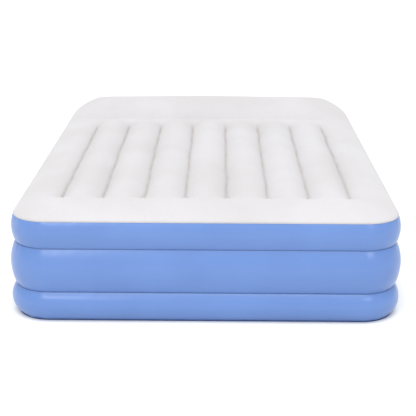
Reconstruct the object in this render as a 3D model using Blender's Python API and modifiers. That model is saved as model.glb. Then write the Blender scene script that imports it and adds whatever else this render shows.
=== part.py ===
"""A raised queen air mattress: flocked top, three vinyl side bands, inner webs and a built-in electric pump.

Metres, +Z up. The origin is the middle of the footprint on the floor. The foot end faces -Y and the head
end, with the pump, faces +Y. Pump pieces are modelled in the pump's own frame: X to the right and Y up as
seen from behind the head end, Z outwards, with the panel's face at Z = 0.
"""
import math

import bmesh
import bpy
from mathutils import Matrix, Vector

# Overall sizes
LENGTH = 2.03
WIDTH = 1.52
CORNER_RADIUS = 0.16
TOP_HEIGHT = 0.46
PILLOW_HEIGHT = 0.518

# Side bands: height of each weld, how far it sits inside the widest outline, and each bulge's own inset
LOWER_WAIST_HEIGHT = 0.118
UPPER_WAIST_HEIGHT = 0.292
SEAM_HEIGHT = 0.400
FLOOR_EDGE_INSET = 0.030
LOWER_WAIST_INSET = 0.020
UPPER_WAIST_INSET = 0.021
SEAM_INSET = 0.018
LOWER_BULGE_INSET = 0.0
MIDDLE_BULGE_INSET = 0.0
UPPER_BULGE_INSET = 0.008

# Sheet thicknesses
BAND_THICKNESS = 0.0005
TOP_THICKNESS = 0.0008
BOTTOM_THICKNESS = 0.0006
BOTTOM_WELD_WIDTH = 0.004
TIE_THICKNESS = 0.0004
WEB_THICKNESS = 0.0005
GAP = 0.0003

# Top sheet: shoulders, grooves and pillow
SHOULDER_WIDTH = 0.25
SHOULDER_POWER = 1.6
PILLOW_SHOULDER_WIDTH = 0.30
PILLOW_SHOULDER_POWER = 1.55
GROOVE_PITCH = 0.1612
GROOVE_PAIRS = 4
GROOVE_DEPTH = 0.030
GROOVE_FOOT_MARGIN = 0.185
GROOVE_END_MARGIN = 0.52
GROOVE_START_FADE = 0.045
GROOVE_END_FADE = 0.07
SIDE_MARGIN_CROWN = 0.075
CREASE_FROM_HEAD = 0.46
CREASE_HEIGHT = 0.441
CREASE_HALF_WIDTH = 0.09
CREASE_POWER = 1.5
CREASE_SIDE_MARGIN = 0.08
CREASE_SIDE_FADE = 0.16
PILLOW_POWER = 1.9
PILLOW_CREST_FROM_HEAD = 0.205

# Inner webs and the air holes in the tie sheets
LOWER_WEB_SPACING = 0.40
LOWER_WEB_END_MARGIN = 0.215
PILLOW_WEB_SIDE_MARGIN = 0.16
AIR_HOLE_RADIUS = 0.04
AIR_HOLE_OFFSET = 0.45

# Pump panel
PUMP_FROM_CORNER = 0.03
PANEL_WIDTH = 0.196
PANEL_HEIGHT = 0.118
PANEL_CORNER = 0.016
PANEL_SET_BACK = 0.0015
PANEL_THICKNESS = 0.004
RIM_HEIGHT = 0.001
SKIRT_WALL = 0.003
SKIRT_DEPTH = 0.020
FLANGE_WIDTH = 0.016
FLANGE_THICKNESS = 0.002
WALL_PANEL_MARGIN = 0.052
HOLE_CLEARANCE = 0.0004

# Pump housing
HOUSING_DEPTH = 0.098
HOUSING_WALL = 0.0025
GASKET_THICKNESS = 0.0015
BOSS_RADIUS = 0.0065
BOSS_LENGTH = 0.024
BOSS_INSET = 0.010
SCREW_RADIUS = 0.0018
SCREW_LENGTH = 0.036
SCREW_HEAD_RADIUS = 0.0038
SCREW_HEAD_HEIGHT = 0.0018
SCREW_CLEARANCE = 0.0004

# Control knob and air selector
KNOB_FROM_SIDE = 0.050
KNOB_RADIUS = 0.033
KNOB_BASE_HEIGHT = 0.005
KNOB_GRIP_WIDTH = 0.013
KNOB_GRIP_LENGTH = 0.058
CUP_RADIUS = 0.042
CUP_DEPTH = 0.016
CUP_WALL = 0.0025
KNOB_SHAFT_RADIUS = 0.004
KNOB_SHAFT_ENTRY = 0.004
SELECTOR_RADIUS = 0.036
SELECTOR_THICKNESS = 0.003
PORT_RADIUS = 0.009
PORT_OFFSET = 0.022
RUNNING_GAP = 0.0008

# Cord compartment and door
DOOR_FROM_KNOB = 0.054
DOOR_SIDE_MARGIN = 0.020
DOOR_LOWER_MARGIN = 0.009
DOOR_UPPER_MARGIN = 0.047
DOOR_THICKNESS = 0.0024
DOOR_SIDE_GAP = 0.0006
DOOR_TOP_GAP = 0.0032
HINGE_BARREL_RADIUS = 0.002
HINGE_PIN_RADIUS = 0.0009
HINGE_PIN_ENTRY = 0.003
THUMB_NOTCH_RADIUS = 0.008
TRAY_DEPTH = 0.045
TRAY_WALL = 0.002
GLAND_FROM_SIDE = 0.018
GLAND_FROM_BELOW = 0.015
GLAND_RADIUS = 0.007
CORD_HOLE_RADIUS = 0.0035
GLAND_LIP = 0.002
GLAND_TAIL = 0.004

# Power switch
SWITCH_FROM_SIDE = 0.026
SWITCH_FROM_ABOVE = 0.024
SWITCH_WIDTH = 0.0172
SWITCH_HEIGHT = 0.0290
SWITCH_DEPTH = 0.024
SWITCH_RIM = 0.0019
SWITCH_RIM_THICKNESS = 0.0008
ROCKER_WIDTH = 0.0122
ROCKER_HALF_HEIGHT = 0.011
ROCKER_TILT = math.radians(8)
ROCKER_PIVOT_DEPTH = 0.007
ROCKER_PIN_RADIUS = 0.0012
ROCKER_END_GAP = 0.0015
ROCKER_ROOM_BELOW = 0.0062
ROCKER_VALLEY_DEPTH = 0.0018
ROCKER_KEEL = [(-0.009, -0.0032), (-0.004, -0.0042), (0.004, -0.0042), (0.009, -0.0032)]

# Intake
SLOT_COUNT = 7
SLOT_PITCH = 0.0065
SLOT_WIDTH = 0.003
SLOT_LENGTH = 0.028
SLOTS_FROM_SIDE = 0.0685
SLOTS_FROM_ABOVE = 0.025
FILTER_THICKNESS = 0.004
FILTER_SIDE_MARGIN = 0.0015
FILTER_END_MARGIN = 0.002

# Fan and motor
COVER_RADIUS = 0.042
COVER_WALL = 0.002
COVER_LENGTH = 0.038
COVER_PLATE = 0.0025
OUTLET_RISE = 0.006
OUTLET_HALF_WIDTH = 0.012
OUTLET_HEIGHT = 0.018
IMPELLER_RADIUS = 0.037
IMPELLER_PLATE = 0.002
BLADE_COUNT = 8
BLADE_HEIGHT = 0.014
BLADE_LENGTH = 0.025
BLADE_THICKNESS = 0.0014
BLADE_OFFSET = 0.022
BLADE_LEAN = math.radians(25)
IMPELLER_RISE = 0.005
HUB_RADIUS = 0.007
MOTOR_SHAFT_RADIUS = 0.0018
BRACKET_THICKNESS = 0.003
BRACKET_SIDE_MARGIN = 0.004
MOTOR_RADIUS = 0.0235
MOTOR_LENGTH = 0.039
MOTOR_BOSS_RADIUS = 0.009
MOTOR_BORE_DEPTH = 0.012
MOTOR_SHAFT_ENTRY = 0.011
LEAD_RADIUS = 0.0012
LEAD_FROM_SWITCH = [(0, 0, -0.034), (-0.004, 0, -0.046), (-0.016, 0, -0.060), (-0.034, -0.002, -0.074),
                    (-0.058, -0.009, -0.085), (-0.076, -0.022, -0.090)]
LEAD_TO_MOTOR = [(0.012, 0.005, 0.012), (0.006, 0, 0.011), (0, 0, 0.011)]

# Check valve in the housing's rear wall
VALVE_DROP = 0.010
VALVE_PORT_RADIUS = 0.0175
VALVE_SEAT_WIDTH = 0.0075
VALVE_SEAT_THICKNESS = 0.0037
VALVE_DISC_RADIUS = 0.0215
VALVE_DISC_THICKNESS = 0.002
VALVE_STEM_RADIUS = 0.0021
VALVE_STEM_LENGTH = 0.0253
VALVE_GUIDE_RADIUS = 0.005
VALVE_GUIDE_HEIGHT = 0.0022
SPOKE_LENGTH = 0.016
SPOKE_WIDTH = 0.0035
SPOKE_THICKNESS = 0.0018
SPOKE_OFFSET = 0.011
RETAINER_RADIUS = 0.0062
RETAINER_FROM_TIP = 0.001
RETAINER_HEIGHT = 0.002
SPRING_RADIUS = 0.004
SPRING_WIRE_RADIUS = 0.0005
SPRING_TURNS = 5

# Places on the panel that follow from the sizes above
half_w = PANEL_WIDTH / 2
half_h = PANEL_HEIGHT / 2
wall_panel_half = half_w + WALL_PANEL_MARGIN
pump_x = -(WIDTH / 2 - CORNER_RADIUS - PUMP_FROM_CORNER - wall_panel_half)
knob_x = -half_w + KNOB_FROM_SIDE
opening_low = (knob_x + DOOR_FROM_KNOB, -half_h + DOOR_LOWER_MARGIN)
opening_high = (half_w - DOOR_SIDE_MARGIN, half_h - DOOR_UPPER_MARGIN)
opening_width = opening_high[0] - opening_low[0]
opening_height = opening_high[1] - opening_low[1]
door_x = (opening_low[0] + opening_high[0]) / 2
door_y = (opening_low[1] + opening_high[1]) / 2
gland_x = opening_high[0] - GLAND_FROM_SIDE
gland_y = opening_low[1] + GLAND_FROM_BELOW
switch_x = half_w - SWITCH_FROM_SIDE
switch_y = half_h - SWITCH_FROM_ABOVE
slots_x = half_w - SLOTS_FROM_SIDE
slots_y = half_h - SLOTS_FROM_ABOVE
valve_x = door_x
valve_y = -VALVE_DROP

# Facets
CORNER_STEPS = 8
BAND_STEPS = 8
ROUND = 32
SMALL_ROUND = 16
PIN_ROUND = 12
AIR_HOLE_STEPS = 10
SPRING_STEPS = 10
SHOULDER_STEPS = [0, 0.004, 0.014, 0.035, 0.070, 0.12]
PILLOW_STEPS = [0.08, 0.25, 0.55, 1]

# Depth that a cutter runs past what it cuts
PAST = 0.01
FAR_PAST = 0.05

for leftover in list(bpy.data.objects):
    bpy.data.objects.remove(leftover)

parts = bpy.data.collections.new("air_mattress")
cutters = bpy.data.collections.new("cutters")
bpy.context.scene.collection.children.link(parts)
bpy.context.scene.collection.children.link(cutters)


def material(name, colour, roughness, metallic=0.0):
    made = bpy.data.materials.new(name)
    made.use_nodes = True
    shader = made.node_tree.nodes["Principled BSDF"]
    shader.inputs["Base Color"].default_value = (*colour, 1)
    shader.inputs["Roughness"].default_value = roughness
    shader.inputs["Metallic"].default_value = metallic
    return made


FLOCK = material("flock", (0.83, 0.82, 0.82), 0.95)
BLUE_VINYL = material("blue_vinyl", (0.19, 0.34, 0.72), 0.42)
CLEAR_WEB = material("web_vinyl", (0.62, 0.68, 0.78), 0.5)
BOTTOM_VINYL = material("bottom_vinyl", (0.13, 0.22, 0.45), 0.55)
PANEL_PLASTIC = material("panel_plastic", (0.09, 0.14, 0.27), 0.45)
GREY_PLASTIC = material("grey_plastic", (0.42, 0.45, 0.50), 0.5)
BLACK_PLASTIC = material("black_plastic", (0.03, 0.03, 0.035), 0.5)
SEAL_RUBBER = material("seal_rubber", (0.04, 0.04, 0.04), 0.8)
FOAM = material("filter_foam", (0.10, 0.10, 0.10), 0.95)
STEEL = material("steel", (0.55, 0.56, 0.58), 0.3, 1.0)
MOTOR_STEEL = material("motor_steel", (0.45, 0.46, 0.48), 0.4, 1.0)


# Shape helpers

def link(thing, collection=parts):
    collection.objects.link(thing)
    return thing


def finish(thing, finish_material):
    """Gives a mesh piece its material and smooth rounds."""
    thing.data.materials.clear()
    thing.data.materials.append(finish_material)
    thing.data.shade_smooth()
    thing.data.set_sharp_from_angle(angle=math.radians(35))
    return thing


def mesh_object(name, bm, collection=parts):
    data = bpy.data.meshes.new(name)
    bm.to_mesh(data)
    bm.free()
    return link(bpy.data.objects.new(name, data), collection)


def curve_to_mesh(curve, collection=parts):
    """The curve's evaluated surface as a closed mesh, which takes the curve's name and place."""
    bpy.context.view_layer.update()
    evaluated = curve.evaluated_get(bpy.context.evaluated_depsgraph_get())
    data = bpy.data.meshes.new_from_object(evaluated)
    bm = bmesh.new()
    bm.from_mesh(data)
    bmesh.ops.remove_doubles(bm, verts=bm.verts, dist=0.000001)
    bmesh.ops.recalc_face_normals(bm, faces=bm.faces)
    bm.to_mesh(data)
    bm.free()
    name = curve.name
    place = curve.matrix_world.copy()
    bpy.data.objects.remove(curve)
    made = link(bpy.data.objects.new(name, data), collection)
    made.matrix_world = place
    return made


def add_spline(curve, points, cyclic):
    spline = curve.splines.new("POLY")
    spline.points.add(len(points) - 1)
    for point, place in zip(spline.points, points):
        point.co = (*Vector(place).to_3d(), 1)
    spline.use_cyclic_u = cyclic


def plate(name, outlines, thickness, collection=parts):
    """A flat plate from 2D outlines, the first the edge and the others holes, centred on Z = 0."""
    curve = bpy.data.curves.new(name, "CURVE")
    curve.dimensions = "2D"
    curve.fill_mode = "BOTH"
    curve.extrude = thickness / 2
    for outline in outlines:
        add_spline(curve, outline, True)
    return curve_to_mesh(link(bpy.data.objects.new(name, curve), collection), collection)


def rounded_outline(half_x, half_y, radius, steps=5):
    points = []
    for quarter in range(4):
        side_x = 1 if quarter in (0, 3) else -1
        side_y = 1 if quarter in (0, 1) else -1
        for step in range(steps + 1):
            angle = (quarter + step / steps) * math.pi / 2
            x = side_x * (half_x - radius) + radius * math.cos(angle)
            y = side_y * (half_y - radius) + radius * math.sin(angle)
            points.append((x, y))
    return points


def circle_outline(x, y, radius, steps):
    turns = [2 * math.pi * step / steps for step in range(steps)]
    return [(x + radius * math.cos(turn), y + radius * math.sin(turn)) for turn in turns]


def add_box(bm, low, high):
    size = Vector(high) - Vector(low)
    middle = (Vector(high) + Vector(low)) / 2
    place = Matrix.Translation(middle) @ Matrix.Diagonal((*size, 1))
    bmesh.ops.create_cube(bm, size=1, matrix=place)


def add_cylinder(bm, x, y, radius, low, high, steps=ROUND):
    place = Matrix.Translation((x, y, (low + high) / 2))
    bmesh.ops.create_cone(bm, cap_ends=True, segments=steps, radius1=radius, radius2=radius,
                          depth=high - low, matrix=place)


def lying_cylinder(bm, centre, radius, length, steps=SMALL_ROUND):
    """A cylinder along X."""
    place = Matrix.Translation(centre) @ Matrix.Rotation(math.pi / 2, 4, "Y")
    bmesh.ops.create_cone(bm, cap_ends=True, segments=steps, radius1=radius, radius2=radius,
                          depth=length, matrix=place)


def turned(name, profile, steps=ROUND, collection=parts):
    """A solid turned about Z from (radius, height) points that run down the outer side and back up."""
    bm = bmesh.new()
    corners = [bm.verts.new((radius, 0, height)) for radius, height in profile]
    on_axis = profile[0][0] == 0
    for first, second in zip(corners, corners[1:]):
        bm.edges.new((first, second))
    if not on_axis:
        bm.edges.new((corners[-1], corners[0]))
    made = mesh_object(name, bm, collection)
    screw = made.modifiers.new("turn", "SCREW")
    screw.steps = steps
    screw.render_steps = steps
    screw.use_merge_vertices = True
    screw.merge_threshold = 0.00001
    return made


def boolean(thing, other, operation):
    other.hide_render = True
    other.display_type = "WIRE"
    modifier = thing.modifiers.new(operation.lower(), "BOOLEAN")
    modifier.operation = operation
    modifier.object = other


def cutter(name, bm, parent=None):
    made = mesh_object(name, bm, cutters)
    made.parent = parent
    return made


# Side band geometry

def bulge(low_height, high_height, low_inset, high_inset, least_inset):
    """(centre height, radius) of the arc through two welds that bulges out to least_inset."""
    low_sag = low_inset - least_inset
    high_sag = high_inset - least_inset
    if abs(high_sag - low_sag) < 1e-9:
        centre = (low_height + high_height) / 2
    else:
        a = high_sag - low_sag
        b = 2 * (low_sag * high_height - high_sag * low_height)
        c = (low_sag * high_sag * (low_sag - high_sag) + high_sag * low_height ** 2
             - low_sag * high_height ** 2)
        root = math.sqrt(b * b - 4 * a * c)
        centres = [(-b + root) / (2 * a), (-b - root) / (2 * a)]
        centre = next(z for z in centres if low_height < z < high_height)
    radius = (low_sag ** 2 + (low_height - centre) ** 2) / (2 * low_sag)
    return centre, radius


class Band:
    """One side band's arc in section, as (inset, height)."""

    def __init__(self, low, high, low_inset, high_inset, least_inset):
        self.centre, self.radius = bulge(low, high, low_inset, high_inset, least_inset)
        self.least_inset = least_inset
        self.low_angle = math.asin((low - self.centre) / self.radius)
        self.high_angle = math.asin((high - self.centre) / self.radius)

    def at(self, angle, depth):
        radius = self.radius - depth
        inset = self.least_inset + self.radius - radius * math.cos(angle)
        return inset, self.centre + radius * math.sin(angle)

    def section(self, low_trim, high_trim, depth, thickness, steps=BAND_STEPS):
        """Closed outline of a sheet that follows the arc, depth inside it."""
        low = self.low_angle + low_trim / self.radius
        high = self.high_angle - high_trim / self.radius
        angles = [low + (high - low) * step / steps for step in range(steps + 1)]
        outer = [self.at(angle, depth) for angle in angles]
        inner = [self.at(angle, depth + thickness) for angle in reversed(angles)]
        return outer + inner


WELD_TRIM = TIE_THICKNESS / 2 + GAP + BAND_THICKNESS / 2
lower_band = Band(BOTTOM_THICKNESS + GAP, LOWER_WAIST_HEIGHT, FLOOR_EDGE_INSET,
                  LOWER_WAIST_INSET, LOWER_BULGE_INSET)
middle_band = Band(LOWER_WAIST_HEIGHT, UPPER_WAIST_HEIGHT, LOWER_WAIST_INSET,
                   UPPER_WAIST_INSET, MIDDLE_BULGE_INSET)
upper_band = Band(UPPER_WAIST_HEIGHT, SEAM_HEIGHT, UPPER_WAIST_INSET, SEAM_INSET,
                  UPPER_BULGE_INSET)


def sweep(name, section, path, cyclic, band_material):
    """A sheet whose section, as (inset, height), follows a path that runs anticlockwise."""
    profile = bpy.data.curves.new(name + "_section", "CURVE")
    profile.dimensions = "2D"
    add_spline(profile, [(-inset, height) for inset, height in section], True)
    profile_object = link(bpy.data.objects.new(name + "_section", profile), cutters)
    curve = bpy.data.curves.new(name, "CURVE")
    curve.dimensions = "3D"
    curve.twist_mode = "Z_UP"
    curve.bevel_mode = "OBJECT"
    curve.bevel_object = profile_object
    curve.use_fill_caps = not cyclic
    add_spline(curve, path, cyclic)
    made = curve_to_mesh(link(bpy.data.objects.new(name, curve)))
    bpy.data.objects.remove(profile_object)
    return finish(made, band_material)


def plan(inset, steps=CORNER_STEPS):
    return rounded_outline(WIDTH / 2 - inset, LENGTH / 2 - inset, CORNER_RADIUS - inset, steps)


def lift(thing, height):
    thing.location.z = height
    return thing


# Side bands. The middle one stops on either side of the pump, where a separate wall panel joins it.

sweep("lower_side_band", lower_band.section(0, WELD_TRIM, 0, BAND_THICKNESS), plan(0), True,
      BLUE_VINYL)
sweep("upper_side_band", upper_band.section(WELD_TRIM, WELD_TRIM, 0, BAND_THICKNESS), plan(0),
      True, BLUE_VINYL)

around = plan(0)
head_corner_end = CORNER_STEPS + 1
band_path = [(pump_x - wall_panel_half - GAP, LENGTH / 2)]
band_path += around[head_corner_end:]
band_path += around[:head_corner_end]
band_path += [(pump_x + wall_panel_half + GAP, LENGTH / 2)]
middle_section = middle_band.section(WELD_TRIM, WELD_TRIM, 0, BAND_THICKNESS)
sweep("middle_side_band", middle_section, band_path, False, BLUE_VINYL)
wall_path = [(pump_x + wall_panel_half, LENGTH / 2), (pump_x - wall_panel_half, LENGTH / 2)]
pump_wall_panel = sweep("pump_wall_panel", middle_section, wall_path, False, BLUE_VINYL)


# Top sheet

def edge_distance(x, y):
    """How far a point of the plan lies inside the seam."""
    half_x = WIDTH / 2 - SEAM_INSET
    half_y = LENGTH / 2 - SEAM_INSET
    radius = CORNER_RADIUS - SEAM_INSET
    over_x = abs(x) - (half_x - radius)
    over_y = abs(y) - (half_y - radius)
    if over_x > 0 and over_y > 0:
        return radius - math.hypot(over_x, over_y)
    return min(half_x - abs(x), half_y - abs(y))


def superellipse(share, power):
    share = min(max(share, 0.0), 1.0)
    return (1 - (1 - share) ** power) ** (1 / power)


def fade(value, start, end):
    share = min(max((value - start) / (end - start), 0.0), 1.0)
    return share * share * (3 - 2 * share)


crease_y = LENGTH / 2 - CREASE_FROM_HEAD
pillow_crest_y = LENGTH / 2 - PILLOW_CREST_FROM_HEAD
groove_start_y = -LENGTH / 2 + GROOVE_FOOT_MARGIN
groove_end_y = LENGTH / 2 - GROOVE_END_MARGIN
groove_lines = [side * (rank - 0.5) * GROOVE_PITCH
                for side in (-1, 1) for rank in range(1, GROOVE_PAIRS + 1)]
outer_groove = (GROOVE_PAIRS - 0.5) * GROOVE_PITCH


def crown(x, y):
    """Height of the sheet before grooves and shoulders. The pillow crease dies out towards the sides."""
    if y < crease_y:
        share = (crease_y - y) / CREASE_HALF_WIDTH
        creased = CREASE_HEIGHT + (TOP_HEIGHT - CREASE_HEIGHT) * superellipse(share, CREASE_POWER)
    else:
        share = (y - crease_y) / (pillow_crest_y - crease_y)
        creased = CREASE_HEIGHT + (PILLOW_HEIGHT - CREASE_HEIGHT) * superellipse(share, PILLOW_POWER)
    smooth = TOP_HEIGHT + (PILLOW_HEIGHT - TOP_HEIGHT) * fade(y, crease_y - CREASE_HALF_WIDTH, pillow_crest_y)
    side_end = WIDTH / 2 - CREASE_SIDE_MARGIN
    at_side = fade(abs(x), side_end - CREASE_SIDE_FADE, side_end)
    return creased + (smooth - creased) * at_side


def groove_share(x):
    """1 along a groove, 0 on the crest of a channel."""
    across = abs(x)
    if across > outer_groove:
        return max(0.0, 1 - (across - outer_groove) / SIDE_MARGIN_CROWN) ** 2
    channel = across / GROOVE_PITCH
    return (2 * abs(channel - round(channel))) ** 2


def top_height(x, y):
    on_pillow = fade(y, crease_y - CREASE_HALF_WIDTH, pillow_crest_y)
    from_side = max(WIDTH / 2 - SEAM_INSET - abs(x), 0.0)
    from_head = max(LENGTH / 2 - SEAM_INSET - y, 0.0)
    head_share = from_head / (from_head + from_side + 0.0001)
    head_width = PILLOW_CREST_FROM_HEAD - SEAM_INSET
    pillow_width = head_width + (PILLOW_SHOULDER_WIDTH - head_width) * head_share
    width = SHOULDER_WIDTH + (pillow_width - SHOULDER_WIDTH) * on_pillow
    power = SHOULDER_POWER + (PILLOW_SHOULDER_POWER - SHOULDER_POWER) * on_pillow
    shoulder = superellipse(edge_distance(x, y) / width, power)
    along = fade(y, groove_start_y - GROOVE_START_FADE / 2, groove_start_y + GROOVE_START_FADE / 2)
    along *= 1 - fade(y, groove_end_y - GROOVE_END_FADE, groove_end_y + GROOVE_END_FADE / 2)
    base = SEAM_HEIGHT + GAP + BAND_THICKNESS / 2
    return base + (crown(x, y) - base - GROOVE_DEPTH * groove_share(x) * along) * shoulder


def mirrored(values):
    return sorted({round(side * value, 6) for value in values for side in (-1, 1)})


seam_half_x = WIDTH / 2 - SEAM_INSET
seam_half_y = LENGTH / 2 - SEAM_INSET
x_lines = mirrored([seam_half_x - step for step in SHOULDER_STEPS] + [outer_groove + 0.035]
                   + [rank * GROOVE_PITCH / 2 for rank in range(2 * GROOVE_PAIRS)])
groove_y_lines = [groove_start_y - GROOVE_START_FADE / 2, groove_start_y,
                  groove_start_y + GROOVE_START_FADE / 2, (groove_start_y + groove_end_y) / 2,
                  groove_end_y - GROOVE_END_FADE, groove_end_y - GROOVE_END_FADE / 4,
                  groove_end_y + GROOVE_END_FADE / 2]
pillow_rise = pillow_crest_y - crease_y
y_lines = sorted([-seam_half_y + step for step in SHOULDER_STEPS] + groove_y_lines
                 + [crease_y - CREASE_HALF_WIDTH / 5, crease_y]
                 + [crease_y + share * pillow_rise for share in PILLOW_STEPS]
                 + [seam_half_y - step for step in SHOULDER_STEPS])


def corner_place(x, y):
    """Bends a rectangular grid point into the seam's rounded corners."""
    radius = CORNER_RADIUS - SEAM_INSET
    over_x = (abs(x) - (seam_half_x - radius)) / radius
    over_y = (abs(y) - (seam_half_y - radius)) / radius
    if over_x <= 0 or over_y <= 0:
        return x, y
    bent_x = seam_half_x - radius + radius * over_x * math.sqrt(1 - over_y ** 2 / 2)
    bent_y = seam_half_y - radius + radius * over_y * math.sqrt(1 - over_x ** 2 / 2)
    return math.copysign(bent_x, x), math.copysign(bent_y, y)


bm = bmesh.new()
bmesh.ops.create_grid(bm, x_segments=len(x_lines) - 1, y_segments=len(y_lines) - 1, size=1)
for vert in bm.verts:
    column = round((vert.co.x + 1) / 2 * (len(x_lines) - 1))
    row = round((vert.co.y + 1) / 2 * (len(y_lines) - 1))
    x, y = corner_place(x_lines[column], y_lines[row])
    vert.co = (x, y, top_height(x, y))
top_sheet = mesh_object("top_sheet", bm)
wall = top_sheet.modifiers.new("thickness", "SOLIDIFY")
wall.thickness = TOP_THICKNESS
wall.offset = -1
wall.use_even_offset = True
finish(top_sheet, FLOCK)


# Bottom sheet and tie sheets

bottom_outline = plan(FLOOR_EDGE_INSET - BOTTOM_WELD_WIDTH)
finish(lift(plate("bottom_sheet", [bottom_outline], BOTTOM_THICKNESS), BOTTOM_THICKNESS / 2),
       BOTTOM_VINYL)
air_holes = [circle_outline(side * rank * GROOVE_PITCH, end * AIR_HOLE_OFFSET, AIR_HOLE_RADIUS,
                            AIR_HOLE_STEPS)
             for side in (-1, 1) for rank in (1, 3) for end in (-1, 1)]
for name, height, inset in (("lower_tie_sheet", LOWER_WAIST_HEIGHT, LOWER_WAIST_INSET),
                            ("upper_tie_sheet", UPPER_WAIST_HEIGHT, UPPER_WAIST_INSET)):
    finish(lift(plate(name, [plan(inset)] + air_holes, TIE_THICKNESS), height), CLEAR_WEB)


# Webs: upper beams under the grooves, one cross web under the pillow crease, and the base webs

def standing_web(name, outline, turn):
    """A vertical web from an outline of (run, height), turned about Z to its direction."""
    web = plate(name, [outline], WEB_THICKNESS)
    web.matrix_world = Matrix.Rotation(turn, 4, "Z") @ Matrix.Rotation(math.pi / 2, 4, "X")
    return finish(web, CLEAR_WEB)


web_floor = UPPER_WAIST_HEIGHT + TIE_THICKNESS / 2 + GAP
UNDER_TOP = 2 * TOP_THICKNESS
for rank, x in enumerate(sorted(groove_lines), 1):
    runs = [groove_start_y, *groove_y_lines[2:5]]
    top_edge = [(y, top_height(x, y) - UNDER_TOP) for y in reversed(runs)]
    beam = standing_web(f"upper_beam_{rank}", [(runs[0], web_floor), (runs[-1], web_floor)] + top_edge,
                        math.pi / 2)
    beam.location.x = x
cross_half = WIDTH / 2 - PILLOW_WEB_SIDE_MARGIN
cross_runs = [x for x in x_lines if abs(x) < cross_half]
cross_top = [(x, top_height(x, crease_y) - UNDER_TOP) for x in reversed(cross_runs)]
pillow_web = standing_web("pillow_cross_web",
                          [(cross_runs[0], web_floor), (cross_runs[-1], web_floor)] + cross_top, 0)
pillow_web.location.y = crease_y

base_half = LENGTH / 2 - LOWER_WEB_END_MARGIN
levels = (("lower", BOTTOM_THICKNESS + GAP, LOWER_WAIST_HEIGHT - TIE_THICKNESS / 2 - GAP),
          ("middle", LOWER_WAIST_HEIGHT + TIE_THICKNESS / 2 + GAP,
           UPPER_WAIST_HEIGHT - TIE_THICKNESS / 2 - GAP))
for level, low, high in levels:
    outline = [(-base_half, low), (base_half, low), (base_half, high), (-base_half, high)]
    for side, place in (("left", -LOWER_WEB_SPACING), ("centre", 0), ("right", LOWER_WEB_SPACING)):
        web = standing_web(f"{level}_web_{side}", outline, math.pi / 2)
        web.location.x = place


# Pump frame

pump = bpy.data.objects.new("pump_frame", None)
link(pump)
pump.location = (pump_x, LENGTH / 2 - PANEL_SET_BACK, (LOWER_WAIST_HEIGHT + UPPER_WAIST_HEIGHT) / 2)
pump.rotation_euler = (math.pi / 2, 0, math.pi)
bpy.context.view_layer.update()


def on_pump(thing, x=0.0, y=0.0, z=0.0):
    thing.parent = pump
    thing.location = (x, y, z)
    return thing


panel_outline = rounded_outline(half_w, half_h, PANEL_CORNER)
skirt_inner = rounded_outline(half_w - SKIRT_WALL, half_h - SKIRT_WALL, PANEL_CORNER - SKIRT_WALL)
screw_places = [(side_x * (half_w - BOSS_INSET), side_y * (half_h - BOSS_INSET))
                for side_x in (-1, 1) for side_y in (-1, 1)]


def slab(name, outlines, low, high, collection=parts):
    """A plate of the pump between two heights of its frame."""
    return on_pump(plate(name, outlines, high - low, collection), z=(low + high) / 2)


# The hole in the wall panel, and the bezel with its curved welding flange

hole_outline = rounded_outline(half_w + HOLE_CLEARANCE, half_h + HOLE_CLEARANCE,
                               PANEL_CORNER + HOLE_CLEARANCE)
boolean(pump_wall_panel, slab("wall_hole", [hole_outline], -FAR_PAST, FAR_PAST, cutters), "DIFFERENCE")

flange_half_w = half_w + FLANGE_WIDTH
flange_half_h = half_h + FLANGE_WIDTH
flange_section = middle_band.section(WELD_TRIM, WELD_TRIM, BAND_THICKNESS + GAP, FLANGE_THICKNESS)
flange = sweep("bezel_flange", flange_section,
               [(pump_x + half_w * 1.5, LENGTH / 2), (pump_x - half_w * 1.5, LENGTH / 2)], False,
               PANEL_PLASTIC)
parts.objects.unlink(flange)
cutters.objects.link(flange)
flange_outline = rounded_outline(flange_half_w, flange_half_h, PANEL_CORNER + FLANGE_WIDTH / 2)
boolean(flange, slab("flange_outline", [flange_outline], -FAR_PAST, FAR_PAST, cutters), "INTERSECT")

bezel = slab("pump_bezel", [panel_outline], -SKIRT_DEPTH, RIM_HEIGHT)
boolean(bezel, flange, "UNION")
boolean(bezel, slab("bezel_face_recess", [skirt_inner], 0, PAST, cutters), "DIFFERENCE")
boolean(bezel, slab("bezel_back_pocket", [skirt_inner], -FAR_PAST, -PANEL_THICKNESS, cutters),
        "DIFFERENCE")
bm = bmesh.new()
add_cylinder(bm, knob_x, 0, CUP_RADIUS + CUP_WALL, -CUP_DEPTH - CUP_WALL, -PANEL_THICKNESS / 2)
boolean(bezel, cutter("knob_cup", bm, pump), "UNION")

switch_half_x = SWITCH_WIDTH / 2
switch_half_y = SWITCH_HEIGHT / 2
bm = bmesh.new()
add_cylinder(bm, knob_x, 0, CUP_RADIUS, -CUP_DEPTH, PAST)
add_box(bm, (*opening_low, -PAST), (*opening_high, PAST))
add_box(bm, (switch_x - switch_half_x - GAP, switch_y - switch_half_y - GAP, -PAST),
        (switch_x + switch_half_x + GAP, switch_y + switch_half_y + GAP, PAST))
for slot in range(SLOT_COUNT):
    slot_x = slots_x + (slot - (SLOT_COUNT - 1) / 2) * SLOT_PITCH
    add_box(bm, (slot_x - SLOT_WIDTH / 2, slots_y - SLOT_LENGTH / 2, -PAST),
            (slot_x + SLOT_WIDTH / 2, slots_y + SLOT_LENGTH / 2, PAST))
counterbore = SCREW_HEAD_RADIUS + SCREW_CLEARANCE
for x, y in screw_places:
    add_cylinder(bm, x, y, counterbore, -SCREW_HEAD_HEIGHT - GAP, PAST, SMALL_ROUND)
boolean(bezel, cutter("bezel_openings", bm, pump), "DIFFERENCE")

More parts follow.
